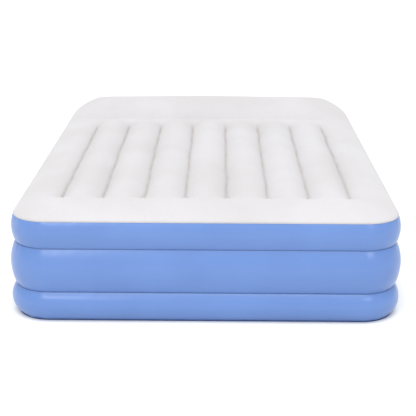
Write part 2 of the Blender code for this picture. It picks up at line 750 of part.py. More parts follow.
hinge_y = opening_high[1] - DOOR_TOP_GAP
hinge_z = -HINGE_BARREL_RADIUS - GAP / 2
pin_length = opening_width + 2 * HINGE_PIN_ENTRY
bm = bmesh.new()
add_cylinder(bm, knob_x, 0, KNOB_SHAFT_RADIUS + 2 * GAP, -CUP_DEPTH - PAST, -CUP_DEPTH + PAST,
             SMALL_ROUND)
for x, y in screw_places:
    add_cylinder(bm, x, y, SCREW_RADIUS + SCREW_CLEARANCE, -PAST, PAST, SMALL_ROUND)
lying_cylinder(bm, (door_x, hinge_y, hinge_z), HINGE_PIN_RADIUS + GAP, pin_length + 2 * GAP)
boolean(bezel, cutter("bezel_holes", bm, pump), "DIFFERENCE")
finish(bezel, PANEL_PLASTIC)


# Gasket, housing and its screws

gasket_top = -SKIRT_DEPTH - GAP
gasket_inner = rounded_outline(half_w - SKIRT_WALL + GAP, half_h - SKIRT_WALL + GAP,
                               PANEL_CORNER - SKIRT_WALL + GAP)
finish(slab("housing_gasket", [panel_outline, gasket_inner], gasket_top - GASKET_THICKNESS,
            gasket_top), SEAL_RUBBER)

housing_front = gasket_top - GASKET_THICKNESS - GAP
housing_back = housing_front - HOUSING_DEPTH
housing_inner = rounded_outline(half_w - HOUSING_WALL, half_h - HOUSING_WALL,
                                PANEL_CORNER - HOUSING_WALL)
housing = slab("pump_housing", [panel_outline], housing_back, housing_front)
boolean(housing, slab("housing_pocket", [housing_inner], housing_back + HOUSING_WALL, PAST, cutters),
        "DIFFERENCE")
bm = bmesh.new()
for x, y in screw_places:
    add_cylinder(bm, x, y, BOSS_RADIUS, housing_front - BOSS_LENGTH, housing_front, SMALL_ROUND)
boolean(housing, cutter("housing_bosses", bm, pump), "UNION")
bm = bmesh.new()
for x, y in screw_places:
    add_cylinder(bm, x, y, SCREW_RADIUS + SCREW_CLEARANCE, housing_front - BOSS_LENGTH - PAST / 2,
                 housing_front + PAST / 2, SMALL_ROUND)
add_cylinder(bm, valve_x, valve_y, VALVE_PORT_RADIUS + GAP, housing_back - PAST, housing_back + PAST)
boolean(housing, cutter("housing_holes", bm, pump), "DIFFERENCE")
finish(housing, GREY_PLASTIC)

for number, (x, y) in enumerate(screw_places, 1):
    screw = turned(f"panel_screw_{number}",
                   [(0, 0), (SCREW_HEAD_RADIUS * 0.8, 0), (SCREW_HEAD_RADIUS, -SCREW_HEAD_HEIGHT / 2),
                    (SCREW_HEAD_RADIUS, -SCREW_HEAD_HEIGHT), (SCREW_RADIUS, -SCREW_HEAD_HEIGHT),
                    (SCREW_RADIUS, -SCREW_LENGTH), (0, -SCREW_LENGTH)], PIN_ROUND)
    finish(on_pump(screw, x, y), STEEL)


# Control knob, its shaft and the air selector disc, which turn together

knob_low = -CUP_DEPTH + RUNNING_GAP
grip_half = KNOB_GRIP_WIDTH / 2
bm = bmesh.new()
add_cylinder(bm, 0, 0, KNOB_RADIUS, knob_low, knob_low + KNOB_BASE_HEIGHT)
knob = on_pump(mesh_object("control_knob", bm), knob_x, 0)
grip_outline = rounded_outline(grip_half, KNOB_GRIP_LENGTH / 2, grip_half * 0.9, 4)
grip = slab("knob_grip", [grip_outline], knob_low + KNOB_BASE_HEIGHT / 2, -RUNNING_GAP, cutters)
grip.location.x = knob_x
boolean(knob, grip, "UNION")
socket_top = knob_low + KNOB_BASE_HEIGHT + KNOB_SHAFT_ENTRY
bm = bmesh.new()
add_cylinder(bm, knob_x, 0, KNOB_SHAFT_RADIUS + GAP, knob_low - PAST, socket_top, SMALL_ROUND)
boolean(knob, cutter("knob_socket", bm, pump), "DIFFERENCE")
finish(knob, GREY_PLASTIC)

selector_top = -CUP_DEPTH - CUP_WALL - RUNNING_GAP
selector_low = selector_top - SELECTOR_THICKNESS
shaft_low = selector_low - RUNNING_GAP / 2
bm = bmesh.new()
add_cylinder(bm, 0, 0, KNOB_SHAFT_RADIUS, shaft_low, socket_top - GAP, SMALL_ROUND)
finish(on_pump(mesh_object("knob_shaft", bm), knob_x, 0), GREY_PLASTIC)


def ports(x, y, steps=SMALL_ROUND):
    return [circle_outline(x, y + side * PORT_OFFSET, PORT_RADIUS, steps) for side in (-1, 1)]


selector_bore = circle_outline(0, 0, KNOB_SHAFT_RADIUS + GAP, SMALL_ROUND)
selector = slab("air_selector_disc",
                [circle_outline(0, 0, SELECTOR_RADIUS, ROUND), selector_bore, *ports(0, 0)],
                selector_low, selector_top)
selector.location.x = knob_x
finish(selector, BLACK_PLASTIC)


# Cord compartment, gland and door

tray_top = -PANEL_THICKNESS - 2 * GAP
tray_back = tray_top - TRAY_DEPTH
tray_half_x = opening_width / 2 + TRAY_WALL / 2
tray_half_y = opening_height / 2 + TRAY_WALL / 2
bm = bmesh.new()
add_box(bm, (-tray_half_x, -tray_half_y, tray_back), (tray_half_x, tray_half_y, tray_top))
tray = on_pump(mesh_object("cord_compartment", bm), door_x, door_y)
bm = bmesh.new()
add_box(bm, (door_x - tray_half_x + TRAY_WALL, door_y - tray_half_y + TRAY_WALL, tray_back + TRAY_WALL),
        (door_x + tray_half_x - TRAY_WALL, door_y + tray_half_y - TRAY_WALL, PAST))
boolean(tray, cutter("tray_pocket", bm, pump), "DIFFERENCE")
gland_neck = (GLAND_RADIUS + CORD_HOLE_RADIUS) / 2
bm = bmesh.new()
add_cylinder(bm, gland_x, gland_y, gland_neck + GAP, tray_back - PAST, tray_back + PAST, SMALL_ROUND)
boolean(tray, cutter("gland_hole", bm, pump), "DIFFERENCE")
finish(tray, BLACK_PLASTIC)

gland_face = tray_back + TRAY_WALL + GAP
gland_lip = gland_face + GLAND_LIP
gland_tail = tray_back - GLAND_TAIL
gland = turned("cord_gland", [(CORD_HOLE_RADIUS, gland_lip), (GLAND_RADIUS, gland_lip),
                              (GLAND_RADIUS, gland_face), (gland_neck, gland_face),
                              (gland_neck, gland_tail), (CORD_HOLE_RADIUS, gland_tail)], SMALL_ROUND)
finish(on_pump(gland, gland_x, gland_y), SEAL_RUBBER)

door_half_x = opening_width / 2 - DOOR_SIDE_GAP
door_low = opening_low[1] + DOOR_SIDE_GAP - hinge_y
door_front = -GAP / 2 - hinge_z
bm = bmesh.new()
add_box(bm, (-door_half_x, door_low, door_front - DOOR_THICKNESS), (door_half_x, 0, door_front))
door = on_pump(mesh_object("cord_door", bm), door_x, hinge_y, hinge_z)
bm = bmesh.new()
lying_cylinder(bm, (door_x, hinge_y, hinge_z), HINGE_BARREL_RADIUS, 2 * door_half_x)
boolean(door, cutter("door_barrel", bm, pump), "UNION")
bm = bmesh.new()
lying_cylinder(bm, (door_x, hinge_y, hinge_z), HINGE_PIN_RADIUS + GAP, 2 * FAR_PAST, PIN_ROUND)
add_cylinder(bm, door_x, hinge_y + door_low, THUMB_NOTCH_RADIUS, -PAST, PAST, ROUND)
boolean(door, cutter("door_holes", bm, pump), "DIFFERENCE")
finish(door, PANEL_PLASTIC)

bm = bmesh.new()
lying_cylinder(bm, (0, 0, 0), HINGE_PIN_RADIUS, pin_length, PIN_ROUND)
finish(on_pump(mesh_object("door_hinge_pin", bm), door_x, hinge_y, hinge_z), STEEL)


# Power switch: body, rocker and its pin

bm = bmesh.new()
add_box(bm, (-switch_half_x, -switch_half_y, -SWITCH_DEPTH), (switch_half_x, switch_half_y, GAP * 2))
switch_body = on_pump(mesh_object("switch_body", bm), switch_x, switch_y)
bm = bmesh.new()
rim_x = switch_half_x + SWITCH_RIM
rim_y = switch_half_y + SWITCH_RIM
add_box(bm, (switch_x - rim_x, switch_y - rim_y, GAP),
        (switch_x + rim_x, switch_y + rim_y, GAP + SWITCH_RIM_THICKNESS))
boolean(switch_body, cutter("switch_rim", bm, pump), "UNION")
pocket_x = ROCKER_WIDTH / 2 + GAP
pocket_y = ROCKER_HALF_HEIGHT + ROCKER_END_GAP
bm = bmesh.new()
add_box(bm, (switch_x - pocket_x, switch_y - pocket_y, -ROCKER_PIVOT_DEPTH - ROCKER_ROOM_BELOW),
        (switch_x + pocket_x, switch_y + pocket_y, PAST))
boolean(switch_body, cutter("switch_pocket", bm, pump), "DIFFERENCE")
bm = bmesh.new()
lying_cylinder(bm, (switch_x, switch_y, -ROCKER_PIVOT_DEPTH), ROCKER_PIN_RADIUS + GAP, 2 * FAR_PAST,
               PIN_ROUND)
boolean(switch_body, cutter("switch_pin_hole", bm, pump), "DIFFERENCE")
finish(switch_body, BLACK_PLASTIC)

rocker_valley = ROCKER_PIVOT_DEPTH - ROCKER_VALLEY_DEPTH
rocker_crest = rocker_valley + ROCKER_HALF_HEIGHT * math.tan(ROCKER_TILT)
rocker_outline = [(-ROCKER_HALF_HEIGHT, rocker_crest), *ROCKER_KEEL,
                  (ROCKER_HALF_HEIGHT, rocker_crest), (0, rocker_valley)]
rocker = plate("rocker_button", [rocker_outline], ROCKER_WIDTH)
rocker.data.transform(Matrix.Rotation(math.pi / 2, 4, "Y") @ Matrix.Rotation(math.pi / 2, 4, "Z"))
on_pump(rocker, switch_x, switch_y, -ROCKER_PIVOT_DEPTH)
rocker.rotation_euler.x = ROCKER_TILT
bm = bmesh.new()
lying_cylinder(bm, (switch_x, switch_y, -ROCKER_PIVOT_DEPTH), ROCKER_PIN_RADIUS + GAP, 2 * FAR_PAST,
               PIN_ROUND)
boolean(rocker, cutter("rocker_bore", bm, pump), "DIFFERENCE")
finish(rocker, BLACK_PLASTIC)

bm = bmesh.new()
lying_cylinder(bm, (0, 0, 0), ROCKER_PIN_RADIUS, SWITCH_WIDTH, PIN_ROUND)
finish(on_pump(mesh_object("rocker_pin", bm), switch_x, switch_y, -ROCKER_PIVOT_DEPTH), STEEL)


# Intake filter behind the slots

filter_half_x = SLOT_COUNT * SLOT_PITCH / 2 + FILTER_SIDE_MARGIN
filter_half_y = SLOT_LENGTH / 2 + FILTER_END_MARGIN
bm = bmesh.new()
add_box(bm, (-filter_half_x, -filter_half_y, -PANEL_THICKNESS - GAP - FILTER_THICKNESS),
        (filter_half_x, filter_half_y, -PANEL_THICKNESS - GAP))
finish(on_pump(mesh_object("intake_filter", bm), slots_x, slots_y), FOAM)


# Fan and motor, in line behind the knob

cover_top = shaft_low - RUNNING_GAP / 2
cover_low = cover_top - COVER_LENGTH
cover = turned("impeller_cover", [(0.0, cover_top), (COVER_RADIUS, cover_top), (COVER_RADIUS, cover_low),
                                  (COVER_RADIUS - COVER_WALL, cover_low),
                                  (COVER_RADIUS - COVER_WALL, cover_top - COVER_PLATE),
                                  (0.0, cover_top - COVER_PLATE)])
on_pump(cover, knob_x, 0)
bm = bmesh.new()
for side in (-1, 1):
    add_cylinder(bm, knob_x, side * PORT_OFFSET, PORT_RADIUS, cover_top - PAST, cover_top + PAST,
                 SMALL_ROUND)
outlet_low = cover_low + OUTLET_RISE
add_box(bm, (knob_x + COVER_RADIUS - PAST, -OUTLET_HALF_WIDTH, outlet_low),
        (knob_x + COVER_RADIUS + PAST, OUTLET_HALF_WIDTH, outlet_low + OUTLET_HEIGHT))
boolean(cover, cutter("cover_openings", bm, pump), "DIFFERENCE")
finish(cover, GREY_PLASTIC)

impeller_low = cover_low + IMPELLER_RISE
plate_top = impeller_low + IMPELLER_PLATE
bm = bmesh.new()
add_cylinder(bm, 0, 0, IMPELLER_RADIUS, impeller_low, plate_top)
impeller = on_pump(mesh_object("impeller", bm), knob_x, 0)
bm = bmesh.new()
for blade in range(BLADE_COUNT):
    turn = Matrix.Rotation(2 * math.pi * blade / BLADE_COUNT, 4, "Z")
    lean = Matrix.Translation((BLADE_OFFSET, 0, 0)) @ Matrix.Rotation(BLADE_LEAN, 4, "Z")
    size = Matrix.Diagonal((BLADE_LENGTH, BLADE_THICKNESS, BLADE_HEIGHT + IMPELLER_PLATE / 2, 1))
    rise = Matrix.Translation((knob_x, 0, plate_top + BLADE_HEIGHT / 2 - IMPELLER_PLATE / 4))
    bmesh.ops.create_cube(bm, size=1, matrix=rise @ turn @ lean @ size)
boolean(impeller, cutter("impeller_blades", bm, pump), "UNION")
bm = bmesh.new()
add_cylinder(bm, knob_x, 0, HUB_RADIUS, impeller_low + IMPELLER_PLATE / 2, plate_top + BLADE_HEIGHT,
             SMALL_ROUND)
boolean(impeller, cutter("impeller_hub", bm, pump), "UNION")
bm = bmesh.new()
add_cylinder(bm, knob_x, 0, MOTOR_SHAFT_RADIUS + GAP, impeller_low - PAST,
             plate_top + BLADE_HEIGHT + PAST, SMALL_ROUND)
boolean(impeller, cutter("impeller_bore", bm, pump), "DIFFERENCE")
finish(impeller, BLACK_PLASTIC)

bracket_top = cover_low - GAP
bracket_low = bracket_top - BRACKET_THICKNESS
bracket_half_h = half_h - HOUSING_WALL - GAP
bracket_left = -half_w + HOUSING_WALL + GAP
bracket_right = knob_x + COVER_RADIUS + BRACKET_SIDE_MARGIN
bracket_outline = [(bracket_left, -bracket_half_h + PANEL_CORNER),
                   (bracket_left + PANEL_CORNER, -bracket_half_h),
                   (bracket_right, -bracket_half_h), (bracket_right, bracket_half_h),
                   (bracket_left + PANEL_CORNER, bracket_half_h),
                   (bracket_left, bracket_half_h - PANEL_CORNER)]
bracket_hole = circle_outline(knob_x, 0, MOTOR_BOSS_RADIUS + GAP, SMALL_ROUND)
finish(slab("motor_bracket", [bracket_outline[::-1], bracket_hole], bracket_low, bracket_top), MOTOR_STEEL)

motor_top = bracket_low - GAP
motor_low = motor_top - MOTOR_LENGTH
bore = MOTOR_SHAFT_RADIUS + GAP
bore_end = motor_top - MOTOR_BORE_DEPTH
motor = turned("motor_can", [(0, bore_end), (bore, bore_end), (bore, bracket_top),
                             (MOTOR_BOSS_RADIUS, bracket_top), (MOTOR_BOSS_RADIUS, motor_top),
                             (MOTOR_RADIUS, motor_top), (MOTOR_RADIUS, motor_low), (0, motor_low)])
finish(on_pump(motor, knob_x, 0), MOTOR_STEEL)
bm = bmesh.new()
add_cylinder(bm, 0, 0, MOTOR_SHAFT_RADIUS, motor_top - MOTOR_SHAFT_ENTRY, plate_top + BLADE_HEIGHT,
             SMALL_ROUND)
finish(on_pump(mesh_object("motor_shaft", bm), knob_x, 0), STEEL)

lead = bpy.data.curves.new("motor_lead", "CURVE")
lead.dimensions = "3D"
lead.bevel_depth = LEAD_RADIUS
lead.bevel_resolution = 1
lead.use_fill_caps = True
motor_side = knob_x + MOTOR_RADIUS + GAP
lead_route = [(switch_x, switch_y, -SWITCH_DEPTH - GAP)]
lead_route += [(switch_x + x, switch_y + y, z) for x, y, z in LEAD_FROM_SWITCH]
lead_route += [(motor_side + x, y, motor_low + z) for x, y, z in LEAD_TO_MOTOR]
add_spline(lead, lead_route, False)
finish(on_pump(curve_to_mesh(link(bpy.data.objects.new("motor_lead", lead)))), SEAL_RUBBER)


# Check valve behind the housing's port

seat_top = housing_back - GAP
seat_low = seat_top - VALVE_SEAT_THICKNESS
guide_low = seat_top - VALVE_GUIDE_HEIGHT
seat = turned("valve_seat", [(VALVE_PORT_RADIUS, seat_top), (VALVE_PORT_RADIUS + VALVE_SEAT_WIDTH, seat_top),
                             (VALVE_PORT_RADIUS + VALVE_SEAT_WIDTH, seat_low), (VALVE_PORT_RADIUS, seat_low)])
on_pump(seat, valve_x, valve_y)
bm = bmesh.new()
for spoke in range(3):
    place = (Matrix.Translation((valve_x, valve_y, (seat_top + guide_low) / 2))
             @ Matrix.Rotation(2 * math.pi * spoke / 3, 4, "Z")
             @ Matrix.Translation((SPOKE_OFFSET, 0, 0))
             @ Matrix.Diagonal((SPOKE_LENGTH, SPOKE_WIDTH, SPOKE_THICKNESS, 1)))
    bmesh.ops.create_cube(bm, size=1, matrix=place)
boolean(seat, cutter("seat_spokes", bm, pump), "UNION")
bm = bmesh.new()
add_cylinder(bm, valve_x, valve_y, VALVE_GUIDE_RADIUS, guide_low, seat_top, SMALL_ROUND)
boolean(seat, cutter("seat_guide", bm, pump), "UNION")
bm = bmesh.new()
add_cylinder(bm, valve_x, valve_y, VALVE_STEM_RADIUS + 2 * GAP, guide_low - PAST, seat_top + PAST,
             SMALL_ROUND)
boolean(seat, cutter("seat_bore", bm, pump), "DIFFERENCE")
finish(seat, BLACK_PLASTIC)

disc_top = seat_low - GAP
disc_low = disc_top - VALVE_DISC_THICKNESS
stem_top = disc_low + VALVE_STEM_LENGTH
disc = turned("valve_disc", [(0, stem_top), (VALVE_STEM_RADIUS, stem_top), (VALVE_STEM_RADIUS, disc_top),
                             (VALVE_DISC_RADIUS, disc_top), (VALVE_DISC_RADIUS, disc_low), (0, disc_low)])
finish(on_pump(disc, valve_x, valve_y), SEAL_RUBBER)
retainer_top = stem_top - RETAINER_FROM_TIP
retainer_low = retainer_top - RETAINER_HEIGHT
retainer_bore = VALVE_STEM_RADIUS + GAP
retainer = turned("valve_retainer", [(retainer_bore, retainer_top), (RETAINER_RADIUS, retainer_top),
                                     (RETAINER_RADIUS, retainer_low), (retainer_bore, retainer_low)],
                  SMALL_ROUND)
finish(on_pump(retainer, valve_x, valve_y), GREY_PLASTIC)

spring_low = seat_top + SPRING_WIRE_RADIUS + GAP
spring_high = retainer_low - SPRING_WIRE_RADIUS - GAP
coil = bpy.data.curves.new("valve_spring", "CURVE")
coil.dimensions = "3D"
coil.bevel_depth = SPRING_WIRE_RADIUS
coil.bevel_resolution = 0
coil.use_fill_caps = True
coil_points = []
for step in range(SPRING_TURNS * SPRING_STEPS + 1):
    turn = 2 * math.pi * step / SPRING_STEPS
    height = spring_low + (spring_high - spring_low) * step / (SPRING_TURNS * SPRING_STEPS)
    coil_points.append((SPRING_RADIUS * math.cos(turn), SPRING_RADIUS * math.sin(turn), height))
add_spline(coil, coil_points, False)
spring = curve_to_mesh(link(bpy.data.objects.new("valve_spring", coil)))
finish(on_pump(spring, valve_x, valve_y), STEEL)
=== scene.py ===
"""Looks of a raised queen air mattress: flocked top, blue vinyl side bands, welds, inner webs and a pump.

Metres, +Z up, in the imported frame. The foot end faces -Y and the head end, with the pump, faces +Y.
"""
import math

import bmesh
import bpy
import numpy as np
from mathutils import Matrix, Vector, noise


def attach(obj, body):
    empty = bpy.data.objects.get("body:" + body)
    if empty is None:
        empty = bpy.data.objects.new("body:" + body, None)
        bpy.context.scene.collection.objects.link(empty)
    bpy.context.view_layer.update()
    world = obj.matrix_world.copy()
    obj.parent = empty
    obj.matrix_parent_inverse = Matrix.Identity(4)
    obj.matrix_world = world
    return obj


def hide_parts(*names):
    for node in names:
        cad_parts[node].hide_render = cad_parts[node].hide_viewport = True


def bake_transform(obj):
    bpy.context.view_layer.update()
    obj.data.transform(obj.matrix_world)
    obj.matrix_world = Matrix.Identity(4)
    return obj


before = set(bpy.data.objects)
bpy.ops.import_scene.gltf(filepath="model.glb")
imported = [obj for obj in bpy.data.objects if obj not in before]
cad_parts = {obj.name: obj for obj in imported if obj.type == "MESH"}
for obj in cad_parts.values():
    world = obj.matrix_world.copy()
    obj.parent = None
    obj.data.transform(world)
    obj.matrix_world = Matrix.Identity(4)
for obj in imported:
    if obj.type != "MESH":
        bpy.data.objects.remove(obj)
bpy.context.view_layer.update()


# Studio: a wide pale floor under an even white sky, one broad soft sun from above the foot end, and two soft
# boxes in front of it that lay a gloss along the tops of the bulges. None of it belongs to the mattress.

scene = bpy.context.scene
scene.view_settings.view_transform = "Standard"

CAMERA_PLACE = (0.05, -4.615, 1.61)
CAMERA_PITCH = math.radians(72.35)
CAMERA_YAW = math.radians(0.626)
CAMERA_ROLL = math.radians(0.17)
CAMERA_LENS = 88.7
FLOOR_HALF = 40.0
FLOOR_DROP = 0.0005
SKY_STRENGTH = 0.76
SUN_STRENGTH = 3.2
SUN_SPREAD = math.radians(60)
SUN_TILT = math.radians(11)
SUN_HEADING = math.radians(-8)
SOFT_BOXES = (
    ("left_soft_box", (-1.5, -4.3, 2.1), (-0.45, -1.0, 0.3), 1.1, 32.0),
    ("right_soft_box", (2.0, -4.0, 2.0), (0.6, -1.0, 0.3), 0.7, 16.0),
)

camera = bpy.data.objects.new("camera", bpy.data.cameras.new("camera"))
scene.collection.objects.link(camera)
camera.data.lens = CAMERA_LENS
camera.matrix_world = (Matrix.Translation(CAMERA_PLACE) @ Matrix.Rotation(CAMERA_YAW, 4, "Z")
                       @ Matrix.Rotation(CAMERA_PITCH, 4, "X") @ Matrix.Rotation(CAMERA_ROLL, 4, "Z"))
scene.camera = camera

sky = bpy.data.worlds.new("white_sky")
sky.use_nodes = True
sky.node_tree.nodes["Background"].inputs["Color"].default_value = (1.0, 1.0, 1.0, 1.0)
sky.node_tree.nodes["Background"].inputs["Strength"].default_value = SKY_STRENGTH
scene.world = sky

sun = bpy.data.objects.new("soft_sun", bpy.data.lights.new("soft_sun", "SUN"))
sun.data.energy = SUN_STRENGTH
sun.data.angle = SUN_SPREAD
sun.rotation_euler = (SUN_TILT, 0, SUN_HEADING)
scene.collection.objects.link(sun)
for name, place, aim, size, power in SOFT_BOXES:
    box_light = bpy.data.objects.new(name, bpy.data.lights.new(name, "AREA"))
    box_light.data.size = size
    box_light.data.energy = power
    box_light.location = place
    box_light.rotation_euler = (Vector(aim) - Vector(place)).to_track_quat("-Z", "Y").to_euler()
    box_light.visible_camera = False
    scene.collection.objects.link(box_light)


def node(tree, kind, inputs=None, **settings):
    """Adds a node, with its properties and the values of its unlinked sockets."""
    made = tree.nodes.new(kind)
    for key, value in settings.items():
        setattr(made, key, value)
    for key, value in (inputs or {}).items():
        made.inputs[key].default_value = value
    return made


def finish(name, roughness, **constants):
    """A new material, as (material, its tree, its Principled shader, an Object coordinate socket)."""
    made = bpy.data.materials.new(name)
    made.use_nodes = True
    shader = made.node_tree.nodes["Principled BSDF"]
    shader.inputs["Roughness"].default_value = roughness
    for key, value in constants.items():
        shader.inputs[key.replace("_", " ")].default_value = value
    place = made.node_tree.nodes.new("ShaderNodeTexCoord").outputs["Object"]
    return made, made.node_tree, shader, place


def patches(tree, place, scale, detail=3.0):
    """The factor of a noise pattern on the piece."""
    made = node(tree, "ShaderNodeTexNoise", {"Scale": scale, "Detail": detail})
    tree.links.new(place, made.inputs["Vector"])
    return made.outputs["Fac"]


def ranged(tree, factor, from_low, from_high, to_low, to_high):
    """A factor stretched from one range onto another, held at its ends."""
    made = node(tree, "ShaderNodeMapRange", {"From Min": from_low, "From Max": from_high,
                                             "To Min": to_low, "To Max": to_high})
    tree.links.new(factor, made.inputs["Value"])
    return made.outputs["Result"]


def blended(tree, factor, first, second, mode="MIX"):
    """Two colours mixed by a factor. Each is a socket or (red, green, blue)."""
    made = node(tree, "ShaderNodeMix", data_type="RGBA", blend_type=mode)
    for socket, colour in ((6, first), (7, second)):
        if isinstance(colour, tuple):
            made.inputs[socket].default_value = (*colour, 1.0)
        else:
            tree.links.new(colour, made.inputs[socket])
    if isinstance(factor, float):
        made.inputs[0].default_value = factor
    else:
        tree.links.new(factor, made.inputs[0])
    return made.outputs[2]


def bumped(tree, shader, *layers):
    """Stacks bump layers, as (height socket, strength, distance), onto a shader's normal."""
    last = None
    for height, strength, distance in layers:
        made = node(tree, "ShaderNodeBump", {"Strength": strength, "Distance": distance})
        tree.links.new(height, made.inputs["Height"])
        if last:
            tree.links.new(last, made.inputs["Normal"])
        last = made.outputs["Normal"]
    tree.links.new(last, shader.inputs["Normal"])


def solid(name, vertices, faces, finish_material, smooth=True):
    """A mesh object at the origin, linked to the scene."""
    mesh = bpy.data.meshes.new(name)
    mesh.from_pydata([tuple(map(float, v)) for v in vertices], [], faces)
    mesh.polygons.foreach_set("use_smooth", [smooth] * len(mesh.polygons))
    mesh.materials.append(finish_material)
    made = bpy.data.objects.new(name, mesh)
    scene.collection.objects.link(made)
    return made


def quads(columns, rows):
    """The faces of a grid whose points run up each column in turn."""
    return [(c * rows + r, (c + 1) * rows + r, (c + 1) * rows + r + 1, c * rows + r + 1)
            for c in range(columns - 1) for r in range(rows - 1)]


floor_finish, tree, shader, place = finish("pale_floor", 0.9)
tint = ranged(tree, patches(tree, place, 1.5), 0.3, 0.7, 0.0, 1.0)
tree.links.new(blended(tree, tint, (0.76, 0.76, 0.76), (0.78, 0.78, 0.78)), shader.inputs["Base Color"])
floor = solid("floor", [(x * FLOOR_HALF, y * FLOOR_HALF, -FLOOR_DROP)
                        for x, y in ((-1, -1), (1, -1), (1, 1), (-1, 1))], [(0, 1, 2, 3)], floor_finish)


# Blue side bands: satin PVC film 0.5 mm thick, cut as long strips that air pressure bows outwards between two
# welds. Each strip goes once round the mattress and ends in a lap weld at the head end. Three make the wall.

HALF_WIDTH = 0.76
HALF_LENGTH = 1.015
CORNER = 0.16
FILM = 0.0005
LAP = 0.010
LAP_X = 0.22
LAP_GAP = 0.0002
FLOOR_WELD = (0.0011, 0.030)
LOWER_WAIST = (0.118, 0.020)
UPPER_WAIST = (0.292, 0.021)
SEAM = (0.400, 0.018)
BULGE_INSETS = {"lower_band": 0.0, "middle_band": 0.0, "upper_band": 0.008}
WELD_HALF = 0.0004
STRAIGHT_STEP = 0.0075
CORNER_STEP = 0.0045
BAND_ROWS = 26
BAND_SWELL = 0.0018
PUCKER = 0.0018
PUCKER_REACH = 0.018
WELD_GRIP = 0.003

BLUE = (0.100, 0.197, 0.464)
DEEP_BLUE = (0.091, 0.181, 0.436)
blue_vinyl, tree, shader, place = finish("blue_satin_vinyl", 0.42, Specular_IOR_Level=0.42,
                                         Coat_Weight=0.35, Coat_Roughness=0.22)
clouds = ranged(tree, patches(tree, place, 4.0, 4.0), 0.35, 0.65, 0.0, 1.0)
tree.links.new(blended(tree, clouds, DEEP_BLUE, BLUE), shader.inputs["Base Color"])
rubbed = ranged(tree, patches(tree, place, 11.0, 5.0), 0.3, 0.7, 0.37, 0.47)
tree.links.new(rubbed, shader.inputs["Roughness"])
bumped(tree, shader, (patches(tree, place, 26.0, 2.0), 0.12, 0.0012),
       (patches(tree, place, 1400.0, 2.0), 0.10, 0.0001))


def wall_run(start_x, end_x):
    """Points once round the wall, anticlockwise from start_x on the head end back to end_x, as arrays of
    (place, outward direction, 1 in a corner and 0 on a straight)."""
    stops = [(Vector((start_x, HALF_LENGTH)), Vector((0, 1)), 0)]

    def straight(end, outward):
        start = stops[-1][0]
        count = max(1, round((end - start).length / STRAIGHT_STEP))
        stops.extend((start.lerp(end, step / count), outward, 0) for step in range(1, count + 1))

    def corner(centre, start_angle):
        count = round(CORNER * math.pi / 2 / CORNER_STEP)
        for step in range(1, count + 1):
            angle = start_angle + math.pi / 2 * step / count
            outward = Vector((math.cos(angle), math.sin(angle)))
            stops.append((centre + outward * CORNER, outward, math.sin(math.pi * step / count)))

    inner_x = HALF_WIDTH - CORNER
    inner_y = HALF_LENGTH - CORNER
    straight(Vector((-inner_x, HALF_LENGTH)), Vector((0, 1)))
    corner(Vector((-inner_x, inner_y)), math.pi / 2)
    straight(Vector((-HALF_WIDTH, -inner_y)), Vector((-1, 0)))
    corner(Vector((-inner_x, -inner_y)), math.pi)
    straight(Vector((inner_x, -HALF_LENGTH)), Vector((0, -1)))
    corner(Vector((inner_x, -inner_y)), 1.5 * math.pi)
    straight(Vector((HALF_WIDTH, inner_y)), Vector((1, 0)))
    corner(Vector((inner_x, inner_y)), 0)
    straight(Vector((end_x, HALF_LENGTH)), Vector((0, 1)))
    return (np.array([tuple(s[0]) for s in stops]), np.array([tuple(s[1]) for s in stops]),
            np.array([s[2] for s in stops], float))


def bowed(low, high, least_inset, rows):
    """An arc from one weld to the other, (height, inset) each, that bows out to least_inset. Gives arrays of
    height, inset, distance along it, and its outward direction as (outwards, upwards)."""
    (low_z, low_inset), (high_z, high_inset) = low, high
    near, far = low_inset - least_inset, high_inset - least_inset
    level = (low_z + high_z) / 2
    if abs(far - near) > 1e-9:
        a = far - near
        b = 2 * (near * high_z - far * low_z)
        c = near * far * (near - far) + far * low_z ** 2 - near * high_z ** 2
        root = math.sqrt(b * b - 4 * a * c)
        level = next(z for z in ((-b + root) / (2 * a), (-b - root) / (2 * a)) if low_z < z < high_z)
    radius = (near ** 2 + (low_z - level) ** 2) / (2 * near)
    first = math.asin((low_z - level) / radius)
    last = math.asin((high_z - level) / radius)
    share = (1 - np.cos(np.linspace(0, math.pi, rows))) / 2
    share = 0.55 * share + 0.45 * np.linspace(0, 1, rows)
    angle = first + (last - first) * share
    inset = least_inset + radius - radius * np.cos(angle)
    return level + radius * np.sin(angle), inset, radius * (angle - first), np.cos(angle), np.sin(angle)


def ripple(points, scale, shift):
    """Smooth noise from -1 to 1 at each point, with a wave about 1 / scale long."""
    return np.array([noise.noise(Vector((x, y, z))) for x, y, z in points * np.array(scale) + shift])


